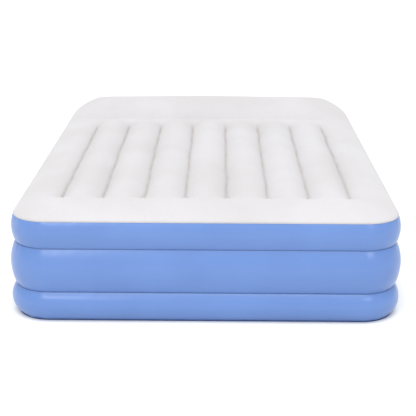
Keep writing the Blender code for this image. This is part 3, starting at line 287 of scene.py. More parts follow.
def strip(name, low, high, least_inset, start_x, end_x, lap=0.0, rows=BAND_ROWS):
    """A band of film along the wall, puckered at its welds. A lap carries its end over its start."""
    place, outward, bend = wall_run(start_x, end_x - lap)
    height, inset, climb, out, up = bowed(low, high, least_inset, rows)
    girth = climb[-1]
    from_weld = np.minimum(climb, girth - climb)
    columns = len(place)
    plan = np.repeat(place[:, None, :], rows, 1)
    points = np.concatenate([plan - outward[:, None, :] * inset[None, :, None],
                             np.broadcast_to(height[None, :, None], (columns, rows, 1))], 2)
    flat = points.reshape(-1, 3)
    swell = ripple(flat, (2.6, 2.6, 5.0), 3.1) + 0.45 * ripple(flat, (7.5, 7.5, 9.0), 9.7)
    gather = ripple(flat, (34.0, 34.0, 7.0), 5.3)
    swell = swell.reshape(columns, rows) * np.sin(math.pi * climb / girth)[None, :] * BAND_SWELL
    reach = np.exp(-from_weld / PUCKER_REACH) * (1 - np.exp(-from_weld / WELD_GRIP))
    gather = gather.reshape(columns, rows) * PUCKER * reach[None, :] * (0.6 + 1.6 * bend[:, None])
    shift = swell + gather
    if lap:
        over = np.clip((np.arange(columns) - (columns - 3)) / 1.0, 0, 1)
        shift = shift + over[:, None] * (FILM + LAP_GAP)
    direction = np.concatenate([outward[:, None, :] * out[None, :, None],
                                np.broadcast_to(up[None, :, None], (columns, rows, 1))], 2)
    points = points + direction * shift[..., None]
    made = solid(name, points.reshape(-1, 3), quads(columns, rows), blue_vinyl)
    wall = made.modifiers.new("film", "SOLIDIFY")
    wall.thickness = FILM
    wall.offset = -1
    return made, girth, float(np.linalg.norm(np.diff(place, axis=0), axis=1).sum())


def trimmed(weld, rise):
    return weld[0] + rise, weld[1]


for name, node_name, low, high in (
        ("lower_band", "lower_side_band", FLOOR_WELD, trimmed(LOWER_WAIST, -WELD_HALF)),
        ("upper_band", "upper_side_band", trimmed(UPPER_WAIST, WELD_HALF), trimmed(SEAM, -WELD_HALF))):
    band, girth, run = strip(name, low, high, BULGE_INSETS[name], LAP_X, LAP_X, LAP)
    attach(band, "mattress")
    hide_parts(node_name)


# Middle band and wall panel: the same film, but the band stops on either side of the pump, where a separate
# panel is lap welded to its two ends. The panel has the pump's hole, and a raised weld ring round it.

PUMP_X = -0.42
PUMP_Y = HALF_LENGTH - 0.0015
PUMP_Z = 0.205
PANEL_HALF_W = 0.098
PANEL_HALF_H = 0.059
PANEL_CORNER = 0.016
WALL_PANEL_HALF = 0.150
HOLE_CLEARANCE = 0.0006
PANEL_STEP = 0.003
RING_WIDTH = 0.014
RING_RISE = 0.0004
RING_SPREAD = 0.0022
INNER_RING = (0.003, 0.0018, 0.8)
SLACK_REACH = 0.03
PANEL_ROWS = 56

middle_weld_low = trimmed(LOWER_WAIST, WELD_HALF)
middle_weld_high = trimmed(UPPER_WAIST, -WELD_HALF)
band, girth, run = strip("middle_band", middle_weld_low, middle_weld_high, BULGE_INSETS["middle_band"],
                         PUMP_X - WALL_PANEL_HALF + LAP / 2, PUMP_X + WALL_PANEL_HALF - LAP / 2)
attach(band, "mattress")
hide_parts("middle_side_band")


def rounded_distance(x, y, half_x, half_y, radius):
    """How far a point lies outside a rounded rectangle, negative inside."""
    over_x = abs(x) - (half_x - radius)
    over_y = abs(y) - (half_y - radius)
    return math.hypot(max(over_x, 0), max(over_y, 0)) + min(max(over_x, over_y), 0) - radius


def rounded_loop(half_x, half_y, radius, steps=8):
    """Corner points of a rounded rectangle about the origin, anticlockwise."""
    loop = []
    for centre_x, centre_y, start in ((1, 1, 0), (-1, 1, 90), (-1, -1, 180), (1, -1, 270)):
        for step in range(steps + 1):
            angle = math.radians(start + 90 * step / steps)
            loop.append((centre_x * (half_x - radius) + radius * math.cos(angle),
                         centre_y * (half_y - radius) + radius * math.sin(angle)))
    return loop


columns = round(2 * WALL_PANEL_HALF / PANEL_STEP)
rows = PANEL_ROWS
height, inset, climb, out, up = bowed(middle_weld_low, middle_weld_high, 0.0, rows)
vertices = []
for column in range(columns + 1):
    across = -WALL_PANEL_HALF + 2 * WALL_PANEL_HALF * column / columns
    for row in range(rows):
        beyond = rounded_distance(across, height[row] - PUMP_Z, PANEL_HALF_W, PANEL_HALF_H, PANEL_CORNER)
        ring = RING_RISE * math.exp(-((beyond - RING_WIDTH) / RING_SPREAD) ** 2)
        ring += RING_RISE * INNER_RING[2] * math.exp(-((beyond - INNER_RING[0]) / INNER_RING[1]) ** 2)
        slack = BAND_SWELL * 0.5 * noise.noise(Vector((across * 9, height[row] * 9, 4.0)))
        slack *= min(max(beyond - RING_WIDTH, 0) / SLACK_REACH, 1)
        slack *= math.sin(math.pi * climb[row] / climb[-1])
        rise = max(FILM + LAP_GAP, ring + slack + FILM + LAP_GAP)
        vertices.append((PUMP_X + across, HALF_LENGTH - inset[row] + out[row] * rise,
                         height[row] + up[row] * rise))
faces = [(c * rows + r, c * rows + r + 1, (c + 1) * rows + r + 1, (c + 1) * rows + r)
         for c in range(columns) for r in range(rows - 1)]
wall_panel = solid("pump_wall", vertices, faces, blue_vinyl)
film = wall_panel.modifiers.new("film", "SOLIDIFY")
film.thickness = FILM
film.offset = 0
punch_loop = rounded_loop(PANEL_HALF_W + HOLE_CLEARANCE, PANEL_HALF_H + HOLE_CLEARANCE, PANEL_CORNER)
count = len(punch_loop)
punch_faces = [tuple(range(count))[::-1], tuple(range(count, 2 * count))]
punch_faces += [(i, (i + 1) % count, (i + 1) % count + count, i + count) for i in range(count)]
punch_points = [(PUMP_X - x, PUMP_Y + depth, PUMP_Z + z) for depth in (-0.05, 0.03) for x, z in punch_loop]
punch = solid("punch", punch_points, punch_faces, blue_vinyl)
hole = wall_panel.modifiers.new("hole", "BOOLEAN")
hole.operation = "DIFFERENCE"
hole.solver = "EXACT"
hole.object = punch


def settled(thing):
    """Applies an object's modifiers and leaves a plain mesh at the origin."""
    graph = bpy.context.evaluated_depsgraph_get()
    mesh = bpy.data.meshes.new_from_object(thing.evaluated_get(graph))
    thing.modifiers.clear()
    thing.data = mesh
    mesh.name = thing.name
    return thing


settled(wall_panel)
bpy.data.objects.remove(punch)
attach(wall_panel, "mattress")
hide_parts("pump_wall_panel")


# Flocked top: one PVC sheet 0.8 mm thick with short rayon flock on its face. Eight long welds tie it to the
# beams below and leave channels between them, and a cross weld at the head end divides off the pillow roll.

FLOCK_THICKNESS = 0.0008
SEAM_HALF_X = HALF_WIDTH - SEAM[1]
SEAM_HALF_Y = HALF_LENGTH - SEAM[1]
SEAM_CORNER = CORNER - SEAM[1]
TOP_RIM = 0.40055
TOP_CROWN = 0.46
CREASE_Y = 0.555
CREASE_CROWN = 0.441
CREASE_REACH = 0.09
CREASE_END_X = 0.68
CREASE_END_FADE = 0.16
PILLOW_CROWN = 0.518
PILLOW_CREST_Y = 0.81
SHOULDER = (0.25, 1.6)
PILLOW_SHOULDER = (0.30, 1.55)
HEAD_SHOULDER = 0.187
GROOVE_PITCH = 0.1612
GROOVES = [(rank - 3.5) * GROOVE_PITCH for rank in range(8)]
GROOVE_START_Y = -0.83
GROOVE_END_Y = 0.495
GROOVE_DEPTH = 0.030
SIDE_CROWN = 0.075
WELD_STRIP = 0.0022
PINCH_DEPTH = 0.0025
PINCH_WIDTH = 0.006
WANDER = 0.0042
WANDER_REACH = 0.030
TOP_SWELL = (0.0016, 0.0008)
CHANNEL_PUCKER = (0.0010, 0.024)
FOOT_DIMPLE = (0.0050, 0.014)
FOOT_FOLD = (0.0012, 0.019, 0.007, 0.024)
FOOT_STAR = (0.0013, 0.022)
HEAD_DIMPLE = (0.0030, 0.030)
CREASE_PUCKER = (0.0017, 0.030)
SEAM_GATHER = (0.0013, 0.022)
EDGE_FADE = 0.03
CREASE_SOFT = 0.022


def eased(value, start, end):
    share = np.clip((value - start) / (end - start), 0, 1)
    return share * share * (3 - 2 * share)


def rounded(share, power):
    share = np.clip(share, 0, 1)
    return (1 - (1 - share) ** power) ** (1 / power)


def ruled(low, high, base, marks):
    """Grid lines from low to high, base apart, and closer by each mark, (place, reach, spacing there)."""
    lines = [low]
    while lines[-1] < high:
        here = lines[-1]
        step = base
        for place, reach, fine in marks:
            step = min(step, fine + (base - fine) * float(eased(abs(here - place), 0.0, reach)))
        lines.append(here + step)
    lines = np.array(lines)
    return low + (lines - low) * (high - low) / (lines[-1] - low)


groove_marks = [(x, 0.035, 0.0022) for x in GROOVES if x > 0]
half_lines = ruled(0.0, SEAM_HALF_X, 0.0095, groove_marks + [(SEAM_HALF_X, 0.05, 0.002)])
x_lines = np.concatenate([-half_lines[:0:-1], half_lines])
y_lines = ruled(-SEAM_HALF_Y, SEAM_HALF_Y, 0.0115,
                [(-SEAM_HALF_Y, 0.05, 0.002), (SEAM_HALF_Y, 0.05, 0.002), (GROOVE_START_Y, 0.10, 0.003),
                 (GROOVE_END_Y, 0.10, 0.006), (CREASE_Y, 0.06, 0.004)])
grid_x, grid_y = np.meshgrid(x_lines, y_lines, indexing="ij")
over_x = np.clip((np.abs(grid_x) - (SEAM_HALF_X - SEAM_CORNER)) / SEAM_CORNER, 0, 1)
over_y = np.clip((np.abs(grid_y) - (SEAM_HALF_Y - SEAM_CORNER)) / SEAM_CORNER, 0, 1)
in_corner = (over_x > 0) & (over_y > 0)
top_x = np.where(in_corner, np.sign(grid_x) * (SEAM_HALF_X - SEAM_CORNER + SEAM_CORNER * over_x
                                               * np.sqrt(1 - over_y ** 2 / 2)), grid_x)
top_y = np.where(in_corner, np.sign(grid_y) * (SEAM_HALF_Y - SEAM_CORNER + SEAM_CORNER * over_y
                                               * np.sqrt(1 - over_x ** 2 / 2)), grid_y)


def inside_seam(x, y):
    """How far a point lies inside the seam, and how far along the seam its nearest point is."""
    past_x = np.abs(x) - (SEAM_HALF_X - SEAM_CORNER)
    past_y = np.abs(y) - (SEAM_HALF_Y - SEAM_CORNER)
    corner = (past_x > 0) & (past_y > 0)
    edge = np.where(corner, SEAM_CORNER - np.hypot(past_x, past_y),
                    np.minimum(SEAM_HALF_X - np.abs(x), SEAM_HALF_Y - np.abs(y)))
    angle = np.arctan2(np.maximum(past_y, 0), np.maximum(past_x, 1e-9))
    straight_run = np.where(past_x > past_y, past_y, SEAM_CORNER * math.pi / 2 - past_x)
    along = np.where(corner, angle * SEAM_CORNER, straight_run)
    return np.maximum(edge, 0), along, corner * np.sin(2 * angle)


nearest = np.array(GROOVES)[np.argmin(np.abs(grid_x[..., None] - np.array(GROOVES)), -1)]
wander = np.array([noise.noise(Vector((mark * 31, y * 7.5, 0.4)))
                   + 0.22 * noise.noise(Vector((mark * 17, y * 22, 3.4)))
                   for mark, y in zip(nearest.ravel(), top_y.ravel())]).reshape(top_x.shape)
wander = WANDER * wander * np.exp(-(np.abs(grid_x - nearest) / WANDER_REACH) ** 2)
top_x = top_x + wander
edge, seam_run, in_bend = inside_seam(top_x, top_y)
foot_side = top_y < CREASE_Y
from_crease = np.sqrt((top_y - CREASE_Y) ** 2 + CREASE_SOFT ** 2) - CREASE_SOFT
crown = np.where(foot_side,
                 CREASE_CROWN + (TOP_CROWN - CREASE_CROWN) * rounded(from_crease / CREASE_REACH, 1.5),
                 CREASE_CROWN + (PILLOW_CROWN - CREASE_CROWN)
                 * rounded(from_crease / (PILLOW_CREST_Y - CREASE_Y - CREASE_SOFT), 1.7))
on_pillow = eased(top_y, CREASE_Y - CREASE_REACH, PILLOW_CREST_Y)
at_side = eased(np.abs(top_x), CREASE_END_X - CREASE_END_FADE, CREASE_END_X)
crown = crown + (TOP_CROWN + (PILLOW_CROWN - TOP_CROWN) * on_pillow - crown) * at_side
from_side = np.maximum(SEAM_HALF_X - np.abs(top_x), 0)
from_head = np.maximum(SEAM_HALF_Y - top_y, 0)
head_share = from_head / (from_head + from_side + 1e-4)
pillow_width = HEAD_SHOULDER + (PILLOW_SHOULDER[0] - HEAD_SHOULDER) * head_share
width = SHOULDER[0] + (pillow_width - SHOULDER[0]) * on_pillow
shoulder = rounded(edge / width, SHOULDER[1] + (PILLOW_SHOULDER[1] - SHOULDER[1]) * on_pillow)
across = np.abs(top_x)
groove_gap = np.min(np.abs((top_x - wander)[..., None] - np.array(GROOVES)), -1)
flat_gap = np.maximum(groove_gap - WELD_STRIP, 0)
share = np.where(across > GROOVES[-1], np.maximum(0, 1 - flat_gap / SIDE_CROWN) ** 2,
                 np.maximum(0, 1 - flat_gap / (GROOVE_PITCH / 2)) ** 2)
along = eased(top_y, GROOVE_START_Y - 0.0225, GROOVE_START_Y + 0.0225)
along = along * (1 - eased(top_y, GROOVE_END_Y - 0.07, GROOVE_END_Y + 0.035))
welded = eased(top_y, GROOVE_START_Y + 0.002, GROOVE_START_Y + 0.010)
welded = welded * (1 - eased(top_y, GROOVE_END_Y - 0.10, GROOVE_END_Y + 0.01))
points = np.stack([top_x, top_y, np.zeros_like(top_x)], -1).reshape(-1, 3)


def field(scale, shift):
    return ripple(points, scale, shift).reshape(top_x.shape)


detail = -PINCH_DEPTH * np.exp(-(groove_gap / PINCH_WIDTH) ** 2) * welded
beside = np.exp(-np.maximum(groove_gap - PINCH_WIDTH, 0) / CHANNEL_PUCKER[1]) * along
detail += CHANNEL_PUCKER[0] * field((4.0, 30.0, 1.0), 2.7) * beside * (1 - np.exp(-(groove_gap / 0.007) ** 2))
detail += TOP_SWELL[0] * field((3.1, 2.3, 1.0), 7.9) + TOP_SWELL[1] * field((8.5, 6.0, 1.0), 1.3)
for groove_x in GROOVES:
    gap_x = top_x - groove_x
    gap_y = top_y - GROOVE_START_Y
    reach = np.hypot(gap_x, gap_y)
    turn = np.arctan2(gap_x, -gap_y)
    lean = noise.noise(Vector((groove_x * 40, 2.0, 0.5)))
    detail += -FOOT_DIMPLE[0] * np.exp(-(reach / FOOT_DIMPLE[1]) ** 2)
    rise, below, tall, wide = FOOT_FOLD
    detail += rise * np.exp(-((gap_y + below) / tall) ** 2) * np.exp(-((gap_x - 0.008 * lean) / wide) ** 2)
    rise, wide = FOOT_STAR
    star = rise * np.cos(5 * turn + 1.2 * lean)
    detail += star * (reach / wide) * np.exp(1 - reach / wide) * (gap_y < 0.02)
    far = np.hypot(gap_x, top_y - GROOVE_END_Y + 0.02)
    detail += -HEAD_DIMPLE[0] * np.exp(-(far / HEAD_DIMPLE[1]) ** 2)
crease_gap = np.abs(top_y - CREASE_Y)
beside = np.exp(-crease_gap / CREASE_PUCKER[1])
detail += CREASE_PUCKER[0] * field((26.0, 4.0, 1.0), 11.1) * beside \
    * (1 - np.exp(-crease_gap / PINCH_WIDTH)) * (1 - at_side)
quarter = np.sign(top_x) + 3 * np.sign(top_y)
gathers = np.array([noise.noise(Vector((run * 38, side, 6.2)))
                    for run, side in zip(seam_run.ravel(), quarter.ravel())]).reshape(top_x.shape)
detail += SEAM_GATHER[0] * gathers * np.exp(-edge / SEAM_GATHER[1]) * (1 - np.exp(-edge / 0.005)) \
    * (0.25 + 1.2 * in_bend)
top_z = TOP_RIM + (crown - TOP_RIM - GROOVE_DEPTH * share * along) * shoulder \
    + detail * np.clip(edge / EDGE_FADE, 0, 1)
faces = quads(len(x_lines), len(y_lines))

FLOCK = (0.449, 0.441, 0.452)
FLOCK_BRUSHED = (0.424, 0.415, 0.421)
# Colour of the grooves: the crushed flock of each weld strip, made darker still as painted shade of the
# groove.
FLOCK_CRUSHED_AND_SHADED = (0.30, 0.285, 0.27)
flock, tree, shader, place = finish("ivory_flock", 0.95, Specular_IOR_Level=0.15, Sheen_Weight=0.25,
                                    Sheen_Roughness=0.5)
brushed = ranged(tree, patches(tree, place, 3.2, 5.0), 0.38, 0.62, 0.0, 1.0)
coat = blended(tree, brushed, FLOCK, FLOCK_BRUSHED)
speckle = ranged(tree, patches(tree, place, 420.0, 3.0), 0.3, 0.7, 0.93, 1.05)
grey = node(tree, "ShaderNodeCombineColor")
for channel in ("Red", "Green", "Blue"):
    tree.links.new(speckle, grey.inputs[channel])
coat = blended(tree, 1.0, coat, grey.outputs["Color"], "MULTIPLY")
# The weld attribute darkens the flock along each groove. Part of it is the real crushed flock of the weld,
# and part is painted shade in and beside the groove.
weld_and_shade_mark = node(tree, "ShaderNodeAttribute", attribute_name="weld")
tree.links.new(blended(tree, weld_and_shade_mark.outputs["Fac"], coat, FLOCK_CRUSHED_AND_SHADED), shader.inputs["Base Color"])
bumped(tree, shader, (patches(tree, place, 60.0, 3.0), 0.25, 0.0010),
       (patches(tree, place, 900.0, 3.0), 0.35, 0.0003))

flocked_top = solid("flocked_top", np.stack([top_x, top_y, top_z], -1).reshape(-1, 3), faces, flock)
mark = flocked_top.data.attributes.new("weld", "FLOAT", "POINT")
# Mask of the grooves' darkening: a narrow line of crushed weld and painted shade, and a broader falloff
# beside it that is painted shade only.
weld_and_groove_shade = (0.75 + 0.35 * field((1.0, 14.0, 1.0), 5.5)) * np.exp(-(groove_gap / 0.0044) ** 2)
weld_and_groove_shade = np.clip(weld_and_groove_shade + 0.16 * np.exp(-groove_gap / 0.016), 0, 1) * welded
mark.data.foreach_set("value", weld_and_groove_shade.astype(np.float32).ravel())
sheet_wall = flocked_top.modifiers.new("sheet", "SOLIDIFY")
sheet_wall.thickness = FLOCK_THICKNESS
sheet_wall.offset = -1
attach(flocked_top, "mattress")
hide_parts("top_sheet")


# Welds: a bead of melted vinyl runs once round the mattress wherever sheets meet: at both waists, at the
# floor and under the flocked top. Geometry Nodes sweep it round the wall's outline.

def started(name, *sockets):
    """A Geometry Nodes tree with these inputs, (label, kind) each, as (tree, its input sockets)."""
    tree = bpy.data.node_groups.new(name, "GeometryNodeTree")
    for label, kind in sockets:
        tree.interface.new_socket(label, in_out="INPUT", socket_type=f"NodeSocket{kind}")
    tree.interface.new_socket("Geometry", in_out="OUTPUT", socket_type="NodeSocketGeometry")
    return tree, tree.nodes.new("NodeGroupInput").outputs


def joined(tree, *pairs):
    for source, target in pairs:
        tree.links.new(source, target)


def ended(tree, geometry, finish_socket):
    """Makes a tree's instances real, gives them their material, and puts them out."""
    realize = tree.nodes.new("GeometryNodeRealizeInstances")
    paint = tree.nodes.new("GeometryNodeSetMaterial")
    result = tree.nodes.new("NodeGroupOutput")
    joined(tree, (geometry, realize.inputs["Geometry"]),
           (realize.outputs["Geometry"], paint.inputs["Geometry"]),
           (finish_socket, paint.inputs["Material"]),
           (paint.outputs["Geometry"], result.inputs["Geometry"]))
    return tree


def bead_tree():
    """A bead that follows a rounded rectangle, laid flat at one height."""
    tree, sizes = started("weld_bead", ("Width", "Float"), ("Length", "Float"), ("Corner", "Float"),
                          ("Height", "Float"), ("Radius", "Float"), ("Finish", "Material"))
    outline = tree.nodes.new("GeometryNodeCurvePrimitiveQuadrilateral")
    turn = node(tree, "GeometryNodeFilletCurve", mode="POLY")
    turn.inputs["Count"].default_value = 20
    lift = tree.nodes.new("ShaderNodeCombineXYZ")
    move = tree.nodes.new("GeometryNodeSetPosition")
    section = tree.nodes.new("GeometryNodeCurvePrimitiveCircle")
    section.inputs["Resolution"].default_value = 8
    sweep = tree.nodes.new("GeometryNodeCurveToMesh")
    smooth = tree.nodes.new("GeometryNodeSetShadeSmooth")
    joined(tree, (sizes["Width"], outline.inputs["Width"]),
           (sizes["Length"], outline.inputs["Height"]),
           (outline.outputs["Curve"], turn.inputs["Curve"]),
           (sizes["Corner"], turn.inputs["Radius"]),
           (turn.outputs["Curve"], move.inputs["Geometry"]),
           (sizes["Height"], lift.inputs["Z"]),
           (lift.outputs["Vector"], move.inputs["Offset"]),
           (move.outputs["Geometry"], sweep.inputs["Curve"]),
           (sizes["Radius"], section.inputs["Radius"]),
           (section.outputs["Curve"], sweep.inputs["Profile Curve"]),
           (sweep.outputs["Mesh"], smooth.inputs["Geometry"]))
    return ended(tree, smooth.outputs["Geometry"], sizes["Finish"])


def grown(name, tree, **sizes):
    """A plain mesh object made by a Geometry Nodes tree with these inputs."""
    seed = bpy.data.objects.new(name, bpy.data.meshes.new(name))
    scene.collection.objects.link(seed)
    grow = seed.modifiers.new("grow", "NODES")
    grow.node_group = tree
    for socket in tree.interface.items_tree:
        if socket.in_out == "INPUT" and socket.name in sizes:
            grow[socket.identifier] = sizes[socket.name]
    return settled(seed)


BEAD_RADIUS = 0.0013
weld_blue, tree, shader, place = finish("melted_blue_weld", 0.35)
melt = ranged(tree, patches(tree, place, 180.0, 2.0), 0.3, 0.7, 0.0, 1.0)
tree.links.new(blended(tree, melt, (0.050, 0.095, 0.235), (0.064, 0.118, 0.280)), shader.inputs["Base Color"])
beads = bead_tree()
for name, (height, inset), radius, bead_finish, slot in (
        ("floor_weld", FLOOR_WELD, 0.0009, weld_blue, "blue_vinyl"),
        ("lower_waist_weld", LOWER_WAIST, BEAD_RADIUS, weld_blue, "blue_vinyl"),
        ("upper_waist_weld", UPPER_WAIST, BEAD_RADIUS, weld_blue, "blue_vinyl"),
        ("top_seam_weld", SEAM, 0.0012, flock, "flock")):
    bead = grown(name, beads, Width=2 * (HALF_WIDTH - inset), Length=2 * (HALF_LENGTH - inset),
                 Corner=CORNER - inset, Height=height, Radius=radius, Finish=bead_finish)
    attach(bead, "mattress")


# Bottom sheet: one plain calendered PVC sheet 0.6 mm thick. It lies flat on the floor and is welded to the
# lower band's edge all the way round.

BOTTOM_INSET = 0.026
BOTTOM_THICKNESS = 0.0006
bottom_vinyl, tree, shader, place = finish("bottom_vinyl", 0.55)
worn = ranged(tree, patches(tree, place, 7.0, 4.0), 0.35, 0.65, 0.0, 1.0)
tree.links.new(blended(tree, worn, (0.060, 0.115, 0.300), (0.070, 0.130, 0.330)), shader.inputs["Base Color"])
bumped(tree, shader, (patches(tree, place, 500.0, 2.0), 0.3, 0.0002))
loop = rounded_loop(HALF_WIDTH - BOTTOM_INSET, HALF_LENGTH - BOTTOM_INSET, CORNER - BOTTOM_INSET, 12)
count = len(loop)
faces = [tuple(range(count))[::-1], tuple(range(count, 2 * count))]
faces += [(i, (i + 1) % count, (i + 1) % count + count, i + count) for i in range(count)]
bottom_points = [(x, y, z) for z in (0.0, BOTTOM_THICKNESS) for x, y in loop]
bottom = solid("bottom_sheet_laid", bottom_points, faces, bottom_vinyl, smooth=False)
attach(bottom, "mattress")
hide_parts("bottom_sheet")


# Inner webs: clear PVC strips welded on edge. Eight beams hold the grooves down, one web holds the pillow
# crease, and six low ones keep the base level. Each has a welding flange along its top and foot.

WEB = 0.0005
WEB_FLANGE = 0.007
WEB_BILLOW = 0.0025
WEB_ROWS = 8
LOWER_TIE_Z = 0.118
UPPER_TIE_Z = 0.292
TIE_CLEAR = 0.0008
TOP_CLEAR = 0.0022
BASE_WEB_HALF = 0.80
BASE_WEB_SPACING = 0.40
PILLOW_WEB_HALF = 0.59
BEAM_STOPS = 60
PILLOW_STOPS = 50
BASE_STOPS = 40
BEAM_FOOT_INSET = 0.003
BEAM_HEAD_INSET = 0.017
clear_vinyl, tree, shader, place = finish("clear_web_vinyl", 0.30, Alpha=0.55)
haze = ranged(tree, patches(tree, place, 30.0, 3.0), 0.3, 0.7, 0.0, 1.0)
tree.links.new(blended(tree, haze, (0.62, 0.65, 0.68), (0.70, 0.72, 0.74)), shader.inputs["Base Color"])
bumped(tree, shader, (patches(tree, place, 300.0, 2.0), 0.2, 0.0002))


def standing_web(name, node_name, run, floor_z, ceiling_z, along_y, offset):
    """A web on edge from floor_z to ceiling_z (one height for each place of the run), billowed a little."""
    vertices = []
    length = run[-1] - run[0]
    for place_along, high in zip(run, ceiling_z):
        column = [(floor_z + TIE_CLEAR, WEB_FLANGE)]
        for row in range(WEB_ROWS):
            up = row / (WEB_ROWS - 1)
            bow = math.sin(math.pi * up) * math.sin(math.pi * (place_along - run[0]) / length)
            column.append((floor_z + TIE_CLEAR + (high - floor_z - TIE_CLEAR) * up, WEB_BILLOW * bow))
        column.append((high, -WEB_FLANGE))
        for z, aside in column:
            vertices.append((offset + aside, place_along, z) if along_y else (place_along, offset + aside, z))
    web = solid(name, vertices, quads(len(run), WEB_ROWS + 2), clear_vinyl)
    thick = web.modifiers.new("film", "SOLIDIFY")
    thick.thickness = WEB
    thick.offset = 0
    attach(web, "mattress")
    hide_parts(node_name)


def top_along(x=None, y=None, at=()):
    """The flocked sheet's height along one line of its grid."""
    if x is not None:
        column = int(np.argmin(np.abs(x_lines - x)))
        return np.interp(at, top_y[column], top_z[column]) - TOP_CLEAR
    row = int(np.argmin(np.abs(y_lines - y)))
    return np.interp(at, top_x[:, row], top_z[:, row]) - TOP_CLEAR


beam_run = np.linspace(GROOVE_START_Y + BEAM_FOOT_INSET, GROOVE_END_Y - BEAM_HEAD_INSET, BEAM_STOPS)
for rank, groove_x in enumerate(GROOVES, 1):
    standing_web(f"groove_beam_{rank}", f"upper_beam_{rank}", beam_run, UPPER_TIE_Z,
                 top_along(x=groove_x, at=beam_run), True, groove_x)
pillow_run = np.linspace(-PILLOW_WEB_HALF, PILLOW_WEB_HALF, PILLOW_STOPS)
standing_web("crease_web", "pillow_cross_web", pillow_run, UPPER_TIE_Z, top_along(y=CREASE_Y, at=pillow_run),
             False, CREASE_Y)
base_run = np.linspace(-BASE_WEB_HALF, BASE_WEB_HALF, BASE_STOPS)
for level, floor_z, ceiling in (("lower", BOTTOM_THICKNESS, LOWER_TIE_Z),
                                ("middle", LOWER_TIE_Z, UPPER_TIE_Z)):
    for side, place_x in (("left", -BASE_WEB_SPACING), ("centre", 0.0), ("right", BASE_WEB_SPACING)):
        standing_web(f"{level}_base_web_{side}", f"{level}_web_{side}", base_run, floor_z,
                     np.full(BASE_STOPS, ceiling - TIE_CLEAR), True, place_x)


# Tie sheets: two clear PVC sheets across the whole mattress, welded into the waists, with round air holes.
# Their shape is the CAD's own, so each is a cleaned copy of its node.

def cleaned(node_name, name, finish_material, soften=0.0, segments=2):
    """A merged copy of a CAD node as a new piece, with its sharp edges rounded if soften is given."""
    bm = bmesh.new()
    bm.from_mesh(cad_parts[node_name].data)
    bmesh.ops.remove_doubles(bm, verts=bm.verts, dist=0.00001)
    bmesh.ops.dissolve_limit(bm, angle_limit=math.radians(2), verts=bm.verts, edges=bm.edges)
    if soften:
        sharp = [e for e in bm.edges if len(e.link_faces) == 2 and e.calc_face_angle(0) > math.radians(35)]
        bmesh.ops.bevel(bm, geom=sharp, offset=soften, segments=segments, profile=0.5, affect="EDGES",
                        clamp_overlap=True)
    mesh = bpy.data.meshes.new(name)
    bm.to_mesh(mesh)
    bm.free()
    mesh.polygons.foreach_set("use_smooth", [True] * len(mesh.polygons))
    mesh.set_sharp_from_angle(angle=math.radians(32))
    mesh.materials.append(finish_material)
    made = bpy.data.objects.new(name, mesh)
    scene.collection.objects.link(made)
    return made


for name, node_name, inset in (("lower_tie", "lower_tie_sheet", LOWER_WAIST[1]),
                               ("upper_tie", "upper_tie_sheet", UPPER_WAIST[1])):
    tie = cleaned(node_name, name, clear_vinyl)
    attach(tie, "mattress")
    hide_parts(node_name)


# Pump panel: a moulded ABS bezel, 196 x 118 mm, welded by its flange behind the wall's film and closed from
# behind by the housing. It has a finger cup for the knob, a cord door, a switch and seven intake slots.

pump_place = Matrix(((-1, 0, 0, PUMP_X), (0, 0, 1, PUMP_Y), (0, 1, 0, PUMP_Z), (0, 0, 0, 1)))
KNOB_X = -0.048


def moulded(name, colour, deep, roughness, grain=1600.0, relief=0.25):
    """Moulded plastic: a fine spark-eroded grain, with slight wear in its gloss."""
    made, tree, shader, place = finish(name, roughness)
    tone = ranged(tree, patches(tree, place, 45.0, 4.0), 0.3, 0.7, 0.0, 1.0)
    tree.links.new(blended(tree, tone, deep, colour), shader.inputs["Base Color"])
    gloss = ranged(tree, patches(tree, place, 90.0, 4.0), 0.3, 0.7, roughness - 0.06, roughness + 0.08)
    tree.links.new(gloss, shader.inputs["Roughness"])
    bumped(tree, shader, (patches(tree, place, grain, 2.0), relief, 0.0001))
    return made


panel_plastic = moulded("panel_abs", (0.115, 0.130, 0.165), (0.100, 0.114, 0.148), 0.46)
bezel = cleaned("pump_bezel", "pump_panel", panel_plastic, 0.0005)
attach(bezel, "mattress")
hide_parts("pump_bezel")


# Panel marks: raised dashes of white ABS, moulded round the finger cup. They are plain strokes, one, two and
# three of them at the knob's three positions.

MARK_RADIUS = 0.0458
MARK_SIZE = (0.004, 0.0011, 0.0006)
MARK_LIFT = 0.00015
MARK_PITCH = 3.6


def meshed(name, bm):
    """A plain object made from a bmesh."""
    mesh = bpy.data.meshes.new(name)
    bm.to_mesh(mesh)
    bm.free()
    made = bpy.data.objects.new(name, mesh)
    scene.collection.objects.link(made)
    return made


def placed(name, bm, finish_material):
    """A smooth-shaded piece from a bmesh in the pump's frame, put in its place on the mattress."""
    bmesh.ops.transform(bm, matrix=pump_place, verts=bm.verts)
    made = meshed(name, bm)
    made.data.polygons.foreach_set("use_smooth", [True] * len(made.data.polygons))
    made.data.set_sharp_from_angle(angle=math.radians(35))
    made.data.materials.append(finish_material)
    return made


mark_plastic = moulded("mark_white_abs", (0.70, 0.71, 0.72), (0.64, 0.65, 0.66), 0.5)
bm = bmesh.new()
for turn, count in ((0, 1), (90, 2), (-90, 3)):
    for dash in range(count):
        angle = math.radians(turn + 90 + (dash - (count - 1) / 2) * MARK_PITCH)
        at_angle = Matrix.Translation((KNOB_X, 0, 0)) @ Matrix.Rotation(angle, 4, "Z")
        stroke = Matrix.Translation((MARK_RADIUS, 0, MARK_LIFT)) @ Matrix.Diagonal((*MARK_SIZE, 1))
        bmesh.ops.create_cube(bm, size=1, matrix=at_angle @ stroke)
marks = placed("knob_position_marks", bm, mark_plastic)
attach(marks, "mattress")


# Screws: four plated steel cross-head screws, cold-headed, that draw the housing up against the bezel.
# Geometry Nodes set one at each corner, each at its own angle.

